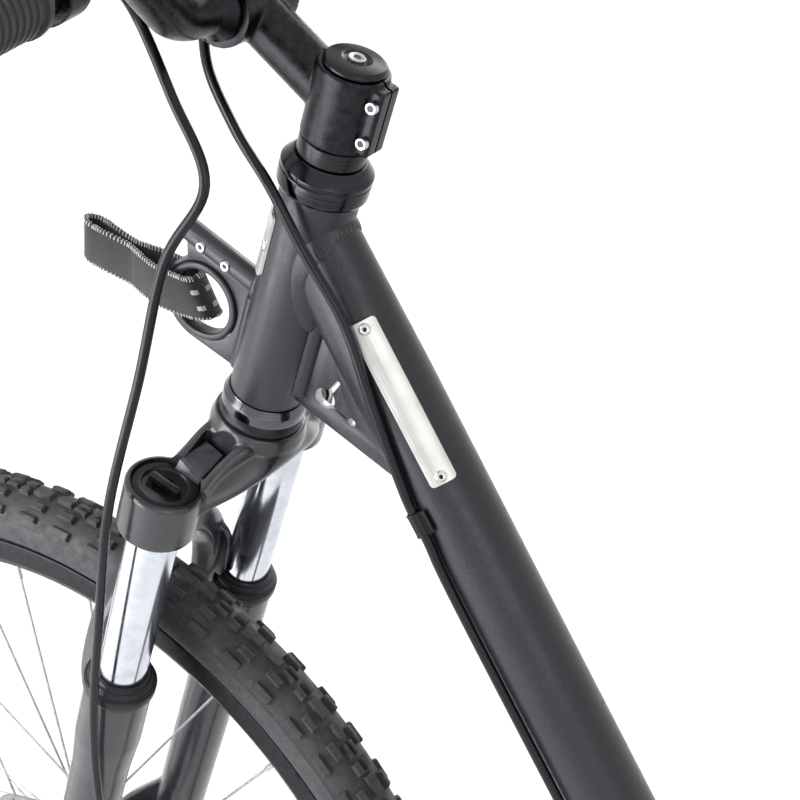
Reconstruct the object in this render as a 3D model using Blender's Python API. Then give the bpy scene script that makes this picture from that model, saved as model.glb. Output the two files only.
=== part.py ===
"""A kick bike: a 26 inch front wheel in a suspension fork, a low footboard and a 20 inch rear wheel.

Metres, +X forward, +Y to the rider's left, +Z up. The origin is on the ground, midway between the
front of the front tyre and the back of the rear tyre. Steering parts are drawn in the steering frame,
whose Z runs up the steering axis from the lower end of the head tube and whose X points forward.
"""

import math

import bmesh
import bpy
from mathutils import Matrix, Vector

# Fits and drawing steps
CLEARANCE = 0.0003
SLIDE_GAP = 0.0006
CUTTER_REACH = 0.06
TUBE_SIDES = 20
SMALL_SIDES = 12
HEAD_SIDES = 28
WHEEL_STEPS = 40
SMOOTH_DEG = 35.0

# Wheels
FRONT_TYRE_RADIUS = 0.328
FRONT_TYRE_WIDTH = 0.050
FRONT_TYRE_HEIGHT = 0.0485
FRONT_BEAD_RADIUS = FRONT_TYRE_RADIUS - FRONT_TYRE_HEIGHT
REAR_TYRE_RADIUS = 0.254
REAR_TYRE_WIDTH = 0.050
REAR_TYRE_HEIGHT = 0.051
REAR_BEAD_RADIUS = REAR_TYRE_RADIUS - REAR_TYRE_HEIGHT
TYRE_WALL = 0.003
TYRE_SEAT_GAP = 0.001
RIM_WIDTH = 0.027
RIM_DEPTH = 0.019
RIM_LIP = 0.006
RIM_WALL = 0.0022
SPOKE_RADIUS = 0.001
SPOKES = 28
SPOKE_CROSS_DEG = 56.0
SPOKE_OFFSET = 0.0020
SPOKE_RIM_SIDE = 0.003
SPOKE_HOLE_INSET = 0.003
FRONT_HUB_WIDTH = 0.098
REAR_HUB_WIDTH = 0.135
HUB_BARREL_RADIUS = 0.014
HUB_FLANGE_RADIUS = 0.029
HUB_FLANGE_THICKNESS = 0.0035
HUB_INNER_CONE = 0.004
HUB_OUTER_CONE = 0.002
FRONT_FLANGE_HALF = 0.020
REAR_FLANGE_HALF = 0.030
AXLE_RADIUS = 0.0045
AXLE_NUT_RADIUS = 0.0095
AXLE_NUT_LENGTH = 0.010
AXLE_NUT_CHAMFER = 0.002

# Disc brakes
ROTOR_RADIUS = 0.080
ROTOR_BAND = 0.014
ROTOR_THICKNESS = 0.0018
ROTOR_SPIDER_RADIUS = 0.026
ROTOR_WINDOWS = 5
ROTOR_STEPS = 36
ROTOR_ARM_WIDTH = 0.009
ROTOR_ARM_SWEEP = -0.35
FRONT_ROTOR_SIDE = 0.0345
REAR_ROTOR_SIDE = 0.0548
CALIPER_LENGTH = 0.046
CALIPER_HEIGHT = 0.030
CALIPER_HALF_WIDTH = 0.0125
CALIPER_SLOT = 0.0042
CALIPER_CORNER = 0.007
CALIPER_OVERLAP = 0.004
FRONT_CALIPER_DEG = -178.0
REAR_CALIPER_DEG = -64.0

# Head tube, headset and steerer
HEAD_ANGLE_DEG = 72.0
HEAD_TUBE_LENGTH = 0.135
HEAD_TUBE_RADIUS = 0.021
HEAD_TUBE_BORE = 0.017
AXLE_DROP = 0.498
FORK_OFFSET = 0.040
LOWER_CUP_RADIUS = 0.02375
LOWER_CUP_HEIGHT = 0.0115
UPPER_CUP_RADIUS = 0.02425
UPPER_CUP_HEIGHT = 0.0105
CUP_STUB = 0.010
CUP_FLOOR = 0.003
CUP_BORE_GAP = 0.0012
CUP_EDGE = 0.0010
BEARING_RADIUS = 0.0200
RACE_RADIUS = 0.0240
RACE_HEIGHT = 0.006
RACE_EDGE = 0.0010
RACE_TOP_INSET = 0.0016
COVER_HEIGHT = 0.009
COVER_TOP_RADIUS = 0.0185
COVER_RIM = 0.003
STEERER_RADIUS = 0.0143
STEERER_WALL = 0.0022

# Down tube and what is welded or riveted to it
DOWN_TUBE_ANGLE_DEG = 58.0
DOWN_TUBE_DROP = 0.024
DOWN_TUBE_JOIN = HEAD_TUBE_LENGTH - DOWN_TUBE_DROP
DOWN_TUBE_RADIUS = 0.0225
DOWN_TUBE_WALL = 0.0020
DOWN_TUBE_NECK_HALF_WIDTH = 0.0185
DOWN_TUBE_NECK_HALF_HEIGHT = 0.0235
DOWN_TUBE_NECK_END = 0.100
GUSSET_THICKNESS = 0.006
GUSSET_FRONT_FOOT = 0.008
GUSSET_REAR_DROP = 0.1125
GUSSET_REAR_FOOT = (-0.0880, DOWN_TUBE_JOIN - GUSSET_REAR_DROP)
GUSSET_SLOPE = (GUSSET_FRONT_FOOT - GUSSET_REAR_FOOT[1]) / -GUSSET_REAR_FOOT[0]
GUSSET_APEX_DROP = 0.031
GUSSET_OVERRUN = 0.020
OPENER_FORE = -0.0370
OPENER_RISE = 0.014494
OPENER_CENTRE = (OPENER_FORE, GUSSET_FRONT_FOOT + GUSSET_SLOPE * OPENER_FORE + OPENER_RISE)
OPENER_RADIUS = 0.0064
OPENER_NOTCH = (-0.0048, 0.01425)
OPENER_NOTCH_WIDTH = 0.0038
SLIT_WIDTH = 0.0014
SLIT_START = (-0.00576, -0.00192)
GUSSET_HOLE_FORE = -0.0560
GUSSET_HOLE_RISE = 0.0122455
GUSSET_HOLE = (GUSSET_HOLE_FORE, GUSSET_FRONT_FOOT + GUSSET_SLOPE * GUSSET_HOLE_FORE + GUSSET_HOLE_RISE)
GUSSET_HOLE_RADIUS = 0.0028
NAME_PLATE_START = 0.053
NAME_PLATE_LENGTH = 0.0945
NAME_PLATE_EDGES_DEG = (22.5, 60.5)
PLATE_THICKNESS = 0.0008
HEAD_BADGE_DROPS = (0.057, 0.018)
HEAD_BADGE_SPAN = [HEAD_TUBE_LENGTH - drop for drop in HEAD_BADGE_DROPS]
HEAD_BADGE_EDGES_DEG = (31.0, 149.0)
HEAD_BADGE_THICKNESS = 0.0014
HOSE_RADIUS = 0.00275
CLIP_PLACE = 0.163
CLIP_LENGTH = 0.013
CLIP_ANGLE_DEG = -17.0
CLIP_WALL = 0.0016

# Front bracket: plate, ring and socket in the middle plane, ahead of the head tube
BRACKET_THICKNESS = 0.006
RING_CENTRE = (0.0516, 0.0297)
RING_BORE = 0.01925
RING_RADIUS = 0.0235
RING_WIDTH = 0.010
BRACKET_LIP = 0.0027
BRACKET_ARC_DEG = (-90.0, 60.0)
BRACKET_BOTTOM_REAR = 0.0005
SOCKET_RADIUS = 0.0064
SOCKET_BORE = 0.0044
SOCKET_REAR = (0.028, 0.0607)
SOCKET_FRONT = (0.071, 0.0660)
SOCKET_BORE_DEPTH = 0.040
SOCKET_ROOT = 0.020
SET_SCREW_PLACES = (0.0580, 0.0405)
SET_SCREW_RADIUS = 0.0026
SET_SCREW_PROUD = 0.0010
SET_SCREW_KEY = 0.0013
SET_SCREW_KEY_DEPTH = 0.0015
SET_SCREW_CHAMFER = 0.0004

# Webbing loop through the ring
WEBBING_WIDTH = 0.020
WEBBING_THICKNESS = 0.0020
TOW_LOOP_REAR = 0.0665
TOW_LOOP_FRONT = 0.138
TOW_LOOP_HALF_GAP = 0.0085

# Deck
RAIL_RADIUS = 0.014
RAIL_WALL = 0.0020
RAIL_HEIGHT = 0.095
RAIL_BEND = 0.060
RAIL_REAR_KICK = 0.033
RAIL_REAR_BEND = 0.090
RAIL_LAP = 0.120
DROPOUT_THICKNESS = 0.006
DROPOUT_SLOT_MOUTH = (-0.004, -0.05)
FOOTBOARD_LENGTH = 0.340
FOOTBOARD_WIDTH = 0.132
FOOTBOARD_THICKNESS = 0.008
FOOTBOARD_CORNER = 0.022
REAR_TYRE_GAP = 0.020
BRIDGE_LENGTH = 0.060
BRIDGE_THICKNESS = 0.005
BRIDGE_SETBACK = 0.004

# Stand
STAND_FORE = 0.150
STAND_ROD_RADIUS = 0.006
STAND_DROP = 0.030
STAND_REACH = 0.118
STAND_RAKE = 0.016
STAND_PIVOT_HALF = 0.040
STAND_PLATE_LENGTH = 0.070
STAND_PLATE_THICKNESS = 0.005
STAND_FOOT_RADIUS = 0.009
STAND_BEND = 0.014
STAND_SHOULDER = 0.006
STAND_EAR_THICKNESS = 0.005
STAND_EAR_INSET = 0.012
STAND_EAR_MARGIN = 0.006
STAND_EAR_FLOOR = 0.004

# Fork
STANCHION_RADIUS = 0.015
STANCHION_WALL = 0.002
STANCHION_SIDE = 0.062
STANCHION_FORE = 0.0127
STANCHION_OVERLAP = 0.115
CROWN_TOP_RADIUS = 0.0262
CROWN_HUB_RADIUS = 0.0285
CROWN_HUB_BOTTOM = -0.046
CROWN_BOSS_RADIUS = 0.0225
CROWN_BOSS_TOP = -0.0440
CROWN_BOSS_BOTTOM = -0.0770
CROWN_BOSS_EDGE = 0.0015
CROWN_SHOULDER = 0.006
CROWN_POCKET_DEPTH = 0.026
CAP_RADIUS = 0.0192
CAP_HEIGHT = 0.0045
CAP_TOP = -0.0455
SEAL_TOP = -0.2025
SEAL_HEIGHT = 0.015
SEAL_RADIUS = 0.0225
LEG_RADIUS = 0.0208
LEG_FOOT_RADIUS = 0.0175
FORK_TRAVEL = 0.080
ARCH_TOP = -0.1315
ARCH_FORE = 0.037
ARCH_HALF_THICKNESS = 0.0080
ARCH_HALF_DEPTH = 0.009
LEG_TAPER = (0.045, 0.075)
LEG_FOOT_RISE = 0.012
LEG_FOOT_EDGE = 0.006
BORE_SPARE = 0.005
CALIPER_TAB_THICKNESS = 0.007
FORK_DROPOUT_THICKNESS = 0.008

# Stem, handlebar and controls
SPACER_HEIGHT = 0.010
STEM_CLAMP_HEIGHT = 0.040
STEM_CLAMP_RADIUS = 0.0185
STEM_REACH = 0.070
STEM_RISE = 0.022
STEM_ARM_RADIUS = 0.0138
BAR_CLAMP_RADIUS = 0.0159
BAR_CLAMP_WALL = 0.0045
BAR_CLAMP_HALF = 0.021
STEM_EDGE = 0.001
STEM_SPLIT = 0.0015
FACEPLATE_GAP = 0.0012
STEM_CAP_INSET = 0.0022
STEM_CAP_HEIGHT = 0.005
BAR_RADIUS = 0.0111
BAR_WALL = 0.0020
BAR_SLEEVE_HALF = 0.028
BAR_HALF_WIDTH = 0.310
BAR_RISE = 0.055
BAR_SWEEP = 0.040
BAR_FLAT_HALF = 0.050
BAR_BEND_SIDE = 0.112
BAR_BEND_BACK = 0.006
BAR_BEND = 0.045
BAR_UPSWEEP = 0.008
GRIP_LENGTH = 0.128
GRIP_RADIUS = 0.0160
GRIP_END = 0.003
LEVER_OFF_GRIP = 0.020
LEVER_PLACE = BAR_HALF_WIDTH - GRIP_LENGTH - LEVER_OFF_GRIP
LEVER_TILT_DEG = -38.0
LEVER_PIVOT_FORE = 0.030
LEVER_REACH = 0.105
LEVER_GAP = 0.050
LEVER_HALF_THICKNESS = 0.0035
LEVER_CLAMP_WIDTH = 0.016
LEVER_BODY_RADIUS = 0.0095
LEVER_BODY_LENGTH = 0.044
LEVER_BODY_SHARE = 0.8
LEVER_BODY_OUTER = 0.014
LEVER_CLAMP_WALL = 0.0045
LEVER_PIVOT_SIDE = 0.012
LEVER_SLOT_GAP = 0.0008


# Directions and frames
HEAD_ANGLE = math.radians(HEAD_ANGLE_DEG)
DOWN_TUBE_ANGLE = math.radians(DOWN_TUBE_ANGLE_DEG)
LEFT = Vector((0, 1, 0))
UP_STEER = Vector((-math.cos(HEAD_ANGLE), 0, math.sin(HEAD_ANGLE)))
FORE_STEER = Vector((math.sin(HEAD_ANGLE), 0, math.cos(HEAD_ANGLE)))
DOWN_TUBE = Vector((-math.cos(DOWN_TUBE_ANGLE), 0, -math.sin(DOWN_TUBE_ANGLE)))
DOWN_TUBE_NORMAL = Vector((-math.sin(DOWN_TUBE_ANGLE), 0, math.cos(DOWN_TUBE_ANGLE)))


def frame_of(x_axis, y_axis, z_axis, origin):
    """A placing matrix from three directions and an origin."""
    matrix = Matrix.Identity(4)
    for column, axis in enumerate((x_axis, y_axis, z_axis, origin)):
        for row in range(3):
            matrix[row][column] = axis[row]
    return matrix


# Layout along the bike, first with the front axle at x = 0 and then centred
deck_top = RAIL_HEIGHT + RAIL_RADIUS + CLEARANCE + FOOTBOARD_THICKNESS
front_axle = Vector((0, 0, FRONT_TYRE_RADIUS))
head_low = front_axle + AXLE_DROP * UP_STEER - FORK_OFFSET * FORE_STEER
tube_join = head_low + DOWN_TUBE_JOIN * UP_STEER
down_tube_length = (tube_join.z - RAIL_HEIGHT) / math.sin(DOWN_TUBE_ANGLE)
deck_corner = tube_join + down_tube_length * DOWN_TUBE
rail_tangent = RAIL_BEND * math.tan(DOWN_TUBE_ANGLE / 2)
footboard_front = deck_corner.x - rail_tangent
footboard_rear = footboard_front - FOOTBOARD_LENGTH
rear_tyre_reach = math.sqrt(REAR_TYRE_RADIUS**2 - (REAR_TYRE_RADIUS - deck_top) ** 2)
rear_axle = Vector((footboard_rear - REAR_TYRE_GAP - rear_tyre_reach, 0, REAR_TYRE_RADIUS))
middle = (front_axle.x + FRONT_TYRE_RADIUS + rear_axle.x - REAR_TYRE_RADIUS) / 2
to_middle = Vector((-middle, 0, 0))
for point in (front_axle, head_low, tube_join, deck_corner, rear_axle):
    point += to_middle
footboard_front -= middle
footboard_rear -= middle
stand_x = footboard_rear + STAND_FORE

STEER = frame_of(FORE_STEER, LEFT, UP_STEER, head_low)
TUBE = frame_of(DOWN_TUBE_NORMAL, LEFT, DOWN_TUBE, tube_join)
AXLE_TURN = Matrix.Rotation(-math.pi / 2, 4, "X")
FRONT_WHEEL = Matrix.Translation(front_axle) @ AXLE_TURN
REAR_WHEEL = Matrix.Translation(rear_axle) @ AXLE_TURN
WORLD = Matrix.Identity(4)


def steered(fore, left, up):
    """A point given in the steering frame."""
    return STEER @ Vector((fore, left, up))


# Materials
def material(name, colour, roughness, metallic):
    """One Principled material."""
    made = bpy.data.materials.new(name)
    made.use_nodes = True
    shader = made.node_tree.nodes["Principled BSDF"]
    shader.inputs["Base Color"].default_value = (*colour, 1)
    shader.inputs["Roughness"].default_value = roughness
    shader.inputs["Metallic"].default_value = metallic
    made.diffuse_color = (*colour, 1)
    return made


def clear_scene():
    """Empties the file before the bike is drawn."""
    for thing in list(bpy.data.objects):
        bpy.data.objects.remove(thing)


clear_scene()
FRAME_PAINT = material("frame_paint", (0.055, 0.055, 0.065), 0.45, 0.3)
CROWN_PAINT = material("crown_paint", (0.035, 0.035, 0.042), 0.30, 0.2)
CHROME = material("chrome", (0.80, 0.82, 0.85), 0.06, 1.0)
BLACK_ANODISED = material("black_anodised", (0.03, 0.03, 0.032), 0.28, 0.8)
BARE_STEEL = material("bare_steel", (0.55, 0.55, 0.56), 0.32, 1.0)
STAINLESS = material("stainless", (0.72, 0.71, 0.69), 0.35, 1.0)
BLACK_RUBBER = material("black_rubber", (0.022, 0.022, 0.022), 0.75, 0.0)
TYRE_RUBBER = material("tyre_rubber", (0.028, 0.027, 0.027), 0.85, 0.0)
HOSE_BLACK = material("hose_black", (0.02, 0.02, 0.021), 0.42, 0.0)
RIM_BLACK = material("rim_black", (0.03, 0.03, 0.03), 0.35, 0.6)
HUB_BLACK = material("hub_black", (0.04, 0.04, 0.042), 0.35, 0.7)
WEBBING = material("webbing", (0.02, 0.02, 0.022), 0.9, 0.0)
DECK_COAT = material("deck_coat", (0.03, 0.03, 0.03), 0.9, 0.0)
BLACK_PLASTIC = material("black_plastic", (0.025, 0.025, 0.026), 0.5, 0.0)
SILVER = material("silver", (0.62, 0.63, 0.64), 0.30, 1.0)


# Drawing helpers
def circle(radius, steps, squash=1.0):
    """Points round the origin of a plane. squash scales the first coordinate."""
    turn = 2 * math.pi / steps
    return [(squash * radius * math.cos(k * turn), radius * math.sin(k * turn)) for k in range(steps)]


def loft(rings, loop=False):
    """A closed body skinned over rings of equal point counts, capped unless the rings form a loop."""
    mesh = bmesh.new()
    rows = [[mesh.verts.new(point) for point in ring] for ring in rings]
    pairs = list(zip(rows, rows[1:]))
    if loop:
        pairs.append((rows[-1], rows[0]))
    for first, second in pairs:
        for k in range(len(first)):
            after = (k + 1) % len(first)
            mesh.faces.new((first[k], first[after], second[after], second[k]))
    if not loop:
        mesh.faces.new(rows[0])
        mesh.faces.new(rows[-1])
    bmesh.ops.recalc_face_normals(mesh, faces=mesh.faces)
    return mesh


def turned(profile, steps=TUBE_SIDES, hollow=True):
    """A body turned about Z from (radius, height) points. A hollow one's profile is a closed section."""
    rings = [[(x, y, height) for x, y in circle(radius, steps)] for radius, height in profile]
    return loft(rings, loop=hollow)


def prism(outline, low, high):
    """An outline in the XY plane, extruded along Z."""
    return loft([[(x, y, z) for x, y in outline] for z in (low, high)])


def rounded_rectangle(half_x, half_y, corner, steps=5):
    """An outline with round corners, centred on the origin."""
    points = []
    for quarter, (side_x, side_y) in enumerate(((1, 1), (-1, 1), (-1, -1), (1, -1))):
        for k in range(steps + 1):
            angle = math.pi / 2 * (quarter + k / steps)
            points.append(
                (
                    side_x * (half_x - corner) + corner * math.cos(angle),
                    side_y * (half_y - corner) + corner * math.sin(angle),
                )
            )
    return points


def rounded_path(corners, bend, step_deg=15.0):
    """A centre line through corners, each inner corner replaced by an arc of radius bend."""
    points = [Vector(corners[0])]
    for before, corner, after in zip(corners, corners[1:], corners[2:]):
        corner = Vector(corner)
        back = (Vector(before) - corner).normalized()
        onward = (Vector(after) - corner).normalized()
        turn = math.pi - back.angle(onward)
        reach = bend * math.tan(turn / 2)
        centre = corner + (back + onward).normalized() * (bend / math.cos(turn / 2))
        start = corner + back * reach - centre
        side = (corner + onward * reach - centre) - start * math.cos(turn)
        side = side.normalized() * bend
        steps = max(1, round(math.degrees(turn) / step_deg))
        for k in range(steps + 1):
            angle = turn * k / steps
            points.append(centre + start * math.cos(angle) + side * math.sin(angle))
    points.append(Vector(corners[-1]))
    return points


def smooth_route(points, pieces):
    """A smooth curve through a route's own points, with as many pieces between neighbours."""
    route = [Vector(point) for point in points]
    ends = [2 * route[0] - route[1], *route, 2 * route[-1] - route[-2]]
    smooth = []
    for a, b, c, d in zip(ends, ends[1:], ends[2:], ends[3:]):
        for k in range(pieces):
            t = k / pieces
            slope = (c - a) * t
            bow = (2 * a - 5 * b + 4 * c - d) * t**2
            twist = (3 * b - a - 3 * c + d) * t**3
            smooth.append(0.5 * (2 * b + slope + bow + twist))
    return [*smooth, route[-1]]


def rings_along(points, section_at, reference):
    """Sections set square to a centre line. section_at(k) gives the outline at point k."""
    rings = []
    side = Vector(reference)
    for k, point in enumerate(points):
        before = points[max(k - 1, 0)]
        after = points[min(k + 1, len(points) - 1)]
        along = (after - before).normalized()
        side = (side - along * side.dot(along)).normalized()
        other = along.cross(side)
        rings.append([point + side * x + other * y for x, y in section_at(k)])
    return rings


def rod(points, radius, sides=TUBE_SIDES, reference=(0, 0, 1)):
    """A solid round bar along a centre line."""
    outline = circle(radius, sides)
    return loft(rings_along(points, lambda k: outline, reference))


def pipe(points, radius, wall, sides=TUBE_SIDES, reference=(0, 0, 1)):
    """A round tube with open ends along a centre line."""
    outer = rings_along(points, lambda k: circle(radius, sides), reference)
    inner = rings_along(points, lambda k: circle(radius - wall, sides), reference)
    return loft([*outer, *reversed(inner)], loop=True)


def curved_plate(radius, thickness, edges_deg, low, high, steps=10):
    """A plate bent round Z. Its edge angles start at +Y and grow towards +X."""
    first, last = (math.radians(edge) for edge in edges_deg)
    angles = [first + (last - first) * k / steps for k in range(steps + 1)]
    outline = [((radius + thickness) * math.sin(a), (radius + thickness) * math.cos(a)) for a in angles]
    outline += [(radius * math.sin(a), radius * math.cos(a)) for a in reversed(angles)]
    return prism(outline, low, high)


def placed(name, mesh, frame, paint):
    """Links a drawn body to the scene as one named object."""
    data = bpy.data.meshes.new(name)
    mesh.to_mesh(data)
    mesh.free()
    data.shade_smooth()
    data.set_sharp_from_angle(angle=math.radians(SMOOTH_DEG))
    if paint:
        data.materials.append(paint)
    made = bpy.data.objects.new(name, data)
    bpy.context.scene.collection.objects.link(made)
    made.matrix_world = frame
    return made


def combined(target, mesh, frame, operation="DIFFERENCE"):
    """Cuts a body from an object, or joins it to the object, with a Boolean."""
    tool = placed(f"{target.name}_tool", mesh, frame, None)
    tool.hide_render = True
    tool.display_type = "WIRE"
    change = target.modifiers.new(operation.lower(), "BOOLEAN")
    change.operation = operation
    change.object = tool
    return tool


def upright_plate_frame(frame, centre_side):
    """Turns a drawing of (fore, up) into a plate in the middle plane of a frame, thick along Y."""
    return frame @ Matrix.Translation((0, centre_side, 0)) @ Matrix.Rotation(math.pi / 2, 4, "X")


# Frame: head tube, down tube and gusset
def neck_section(distance):
    """The down tube's half height and half width at a distance along it."""
    share = min(max(distance / DOWN_TUBE_NECK_END, 0.0), 1.0)
    share = share * share * (3 - 2 * share)
    height = DOWN_TUBE_NECK_HALF_HEIGHT + (DOWN_TUBE_RADIUS - DOWN_TUBE_NECK_HALF_HEIGHT) * share
    width = DOWN_TUBE_NECK_HALF_WIDTH + (DOWN_TUBE_RADIUS - DOWN_TUBE_NECK_HALF_WIDTH) * share
    return height, width


def down_tube_rings(grow, start, end):
    """Oval sections of the down tube in its own frame, larger by grow."""
    neck = [DOWN_TUBE_NECK_END * k / 5 for k in range(1, 6)]
    rings = []
    for distance in [start, *neck, end]:
        height, width = neck_section(distance)
        rings.append(
            [((height + grow) * x, (width + grow) * y, distance) for x, y in circle(1.0, HEAD_SIDES)]
        )
    return rings


def head_tube_cylinder(radius):
    """A cutter round the steering axis that clears the head tube."""
    high = HEAD_TUBE_LENGTH + CUTTER_REACH
    return turned([(radius, -CUTTER_REACH), (radius, high)], HEAD_SIDES, hollow=False)


def add_head_tube():
    profile = [
        (HEAD_TUBE_RADIUS, 0),
        (HEAD_TUBE_RADIUS, HEAD_TUBE_LENGTH),
        (HEAD_TUBE_BORE, HEAD_TUBE_LENGTH),
        (HEAD_TUBE_BORE, 0),
    ]
    placed("head_tube", turned(profile, HEAD_SIDES), STEER, FRAME_PAINT)


def add_down_tube():
    start = 0.4 * HEAD_TUBE_RADIUS
    outer = down_tube_rings(0, start, down_tube_length)
    inner = down_tube_rings(-DOWN_TUBE_WALL, start, down_tube_length)
    tube = placed("down_tube", loft([*outer, *reversed(inner)], loop=True), TUBE, FRAME_PAINT)
    combined(tube, head_tube_cylinder(HEAD_TUBE_RADIUS + CLEARANCE), STEER)


def slot_outline(start, end, half_width, steps=6):
    """A long hole with round ends."""
    first, last = Vector(start), Vector(end)
    along = (last - first).normalized()
    across = Vector((-along.y, along.x))
    points = []
    for centre, sign in ((last, 1), (first, -1)):
        for k in range(steps + 1):
            angle = math.pi * (k / steps - 0.5)
            offset = along * math.cos(angle) + across * math.sin(angle)
            points.append(centre + offset * half_width * sign)
    return [(point.x, point.y) for point in points]


def add_rear_gusset():
    half = GUSSET_THICKNESS / 2
    flat = upright_plate_frame(STEER, 0)
    apex = DOWN_TUBE_JOIN - GUSSET_APEX_DROP
    outline = [
        (0, GUSSET_FRONT_FOOT),
        GUSSET_REAR_FOOT,
        (GUSSET_REAR_FOOT[0] - GUSSET_OVERRUN, GUSSET_REAR_FOOT[1] + GUSSET_OVERRUN),
        (0, apex),
    ]
    gusset = placed("rear_gusset", prism(outline, -half, half), flat, FRAME_PAINT)
    combined(gusset, head_tube_cylinder(HEAD_TUBE_RADIUS + CLEARANCE), STEER)
    combined(gusset, loft(down_tube_rings(CLEARANCE, -CUTTER_REACH, down_tube_length)), TUBE)
    opener = [(OPENER_CENTRE[0] + x, OPENER_CENTRE[1] + y) for x, y in circle(OPENER_RADIUS, 20)]
    notch_end = (OPENER_CENTRE[0] + OPENER_NOTCH[0], OPENER_CENTRE[1] + OPENER_NOTCH[1])
    slit_start = (OPENER_CENTRE[0] + SLIT_START[0], OPENER_CENTRE[1] + SLIT_START[1])
    hole = [(GUSSET_HOLE[0] + x, GUSSET_HOLE[1] + y) for x, y in circle(GUSSET_HOLE_RADIUS, 16)]
    for shape in (
        opener,
        slot_outline(OPENER_CENTRE, notch_end, OPENER_NOTCH_WIDTH / 2),
        slot_outline(slit_start, GUSSET_HOLE, SLIT_WIDTH / 2),
        hole,
    ):
        combined(gusset, prism(shape, -2 * half, 2 * half), flat)


# Front bracket
def socket_frame():
    """A frame whose Z runs forward along the socket, from its rear end."""
    rear, front = Vector(SOCKET_REAR), Vector(SOCKET_FRONT)
    along = (front - rear).normalized()
    direction = FORE_STEER * along.x + UP_STEER * along.y
    upward = LEFT.cross(direction)
    return frame_of(upward, LEFT, direction, steered(rear.x, 0, rear.y)), (front - rear).length


SOCKET_FRAME, SOCKET_LENGTH = socket_frame()
SOCKET_SLOPE = (SOCKET_FRONT[1] - SOCKET_REAR[1]) / (SOCKET_FRONT[0] - SOCKET_REAR[0])


def socket_cylinder(radius, low, high):
    return turned([(radius, low), (radius, high)], TUBE_SIDES, hollow=False)


def add_front_bracket():
    half = BRACKET_THICKNESS / 2
    flat = upright_plate_frame(STEER, 0)
    lip = RING_RADIUS + BRACKET_LIP
    bottom = RING_CENTRE[1] - lip
    outline = [(0, BRACKET_BOTTOM_REAR), (RING_CENTRE[0], bottom)]
    start, end = BRACKET_ARC_DEG
    for k in range(1, 12):
        angle = math.radians(start + (end - start) * k / 12)
        outline.append((RING_CENTRE[0] + lip * math.cos(angle), RING_CENTRE[1] + lip * math.sin(angle)))
    outline += [SOCKET_FRONT, SOCKET_REAR, (0, SOCKET_REAR[1])]
    plate = placed("front_bracket", prism(outline, -half, half), flat, FRAME_PAINT)
    combined(plate, head_tube_cylinder(HEAD_TUBE_RADIUS + CLEARANCE), STEER)
    combined(plate, socket_cylinder(SOCKET_RADIUS + CLEARANCE, -CUTTER_REACH, 2 * CUTTER_REACH), SOCKET_FRAME)
    seat = [(RING_CENTRE[0] + x, RING_CENTRE[1] + y) for x, y in circle(RING_RADIUS + CLEARANCE, 36)]
    combined(plate, prism(seat, -2 * half, 2 * half), flat)


def ring_frame():
    flat = upright_plate_frame(STEER, 0)
    return flat @ Matrix.Translation((*RING_CENTRE, 0))


def add_bracket_ring():
    half = RING_WIDTH / 2
    wall = RING_RADIUS - RING_BORE
    chamfer = 0.3 * wall
    profile = [
        (RING_RADIUS, -half + chamfer),
        (RING_RADIUS, half - chamfer),
        (RING_RADIUS - chamfer, half),
        (RING_BORE + chamfer, half),
        (RING_BORE, half - chamfer),
        (RING_BORE, -half + chamfer),
        (RING_BORE + chamfer, -half),
        (RING_RADIUS - chamfer, -half),
    ]
    placed("bracket_ring", turned(profile, 36), ring_frame(), FRAME_PAINT)


def set_screw_place(fore):
    """How far along the socket a set screw lies, from its place along the steering frame's X."""
    return (fore - SOCKET_REAR[0]) * math.hypot(1, SOCKET_SLOPE)


def screw_frame(along):
    """Z points out through the socket's left side."""
    return SOCKET_FRAME @ Matrix.Translation((0, 0, along)) @ AXLE_TURN


def add_bracket_socket():
    profile = [(SOCKET_RADIUS, -SOCKET_ROOT), (SOCKET_RADIUS, SOCKET_LENGTH)]
    socket = placed(
        "bracket_socket", turned(profile, TUBE_SIDES, hollow=False), SOCKET_FRAME, FRAME_PAINT
    )
    combined(socket, head_tube_cylinder(HEAD_TUBE_RADIUS + CLEARANCE), STEER)
    depth = SOCKET_LENGTH - SOCKET_BORE_DEPTH
    combined(socket, socket_cylinder(SOCKET_BORE, depth, 2 * SOCKET_LENGTH), SOCKET_FRAME)
    wide = SET_SCREW_RADIUS + CLEARANCE
    for fore in SET_SCREW_PLACES:
        hole = turned([(wide, 0), (wide, CUTTER_REACH)], 16, False)
        combined(socket, hole, screw_frame(set_screw_place(fore)))


def add_set_screws():
    top = SOCKET_RADIUS + SET_SCREW_PROUD
    for name, fore in zip(("socket_screw_front", "socket_screw_rear"), SET_SCREW_PLACES):
        low = SOCKET_BORE + CLEARANCE
        profile = [
            (SET_SCREW_RADIUS, low),
            (SET_SCREW_RADIUS, top - SET_SCREW_CHAMFER),
            (SET_SCREW_RADIUS - SET_SCREW_CHAMFER, top),
        ]
        screw = placed(name, turned(profile, 16, hollow=False), screw_frame(set_screw_place(fore)), SILVER)
        key = turned([(SET_SCREW_KEY, top - SET_SCREW_KEY_DEPTH), (SET_SCREW_KEY, 2 * top)], 6, False)
        combined(screw, key, screw_frame(set_screw_place(fore)))


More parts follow.
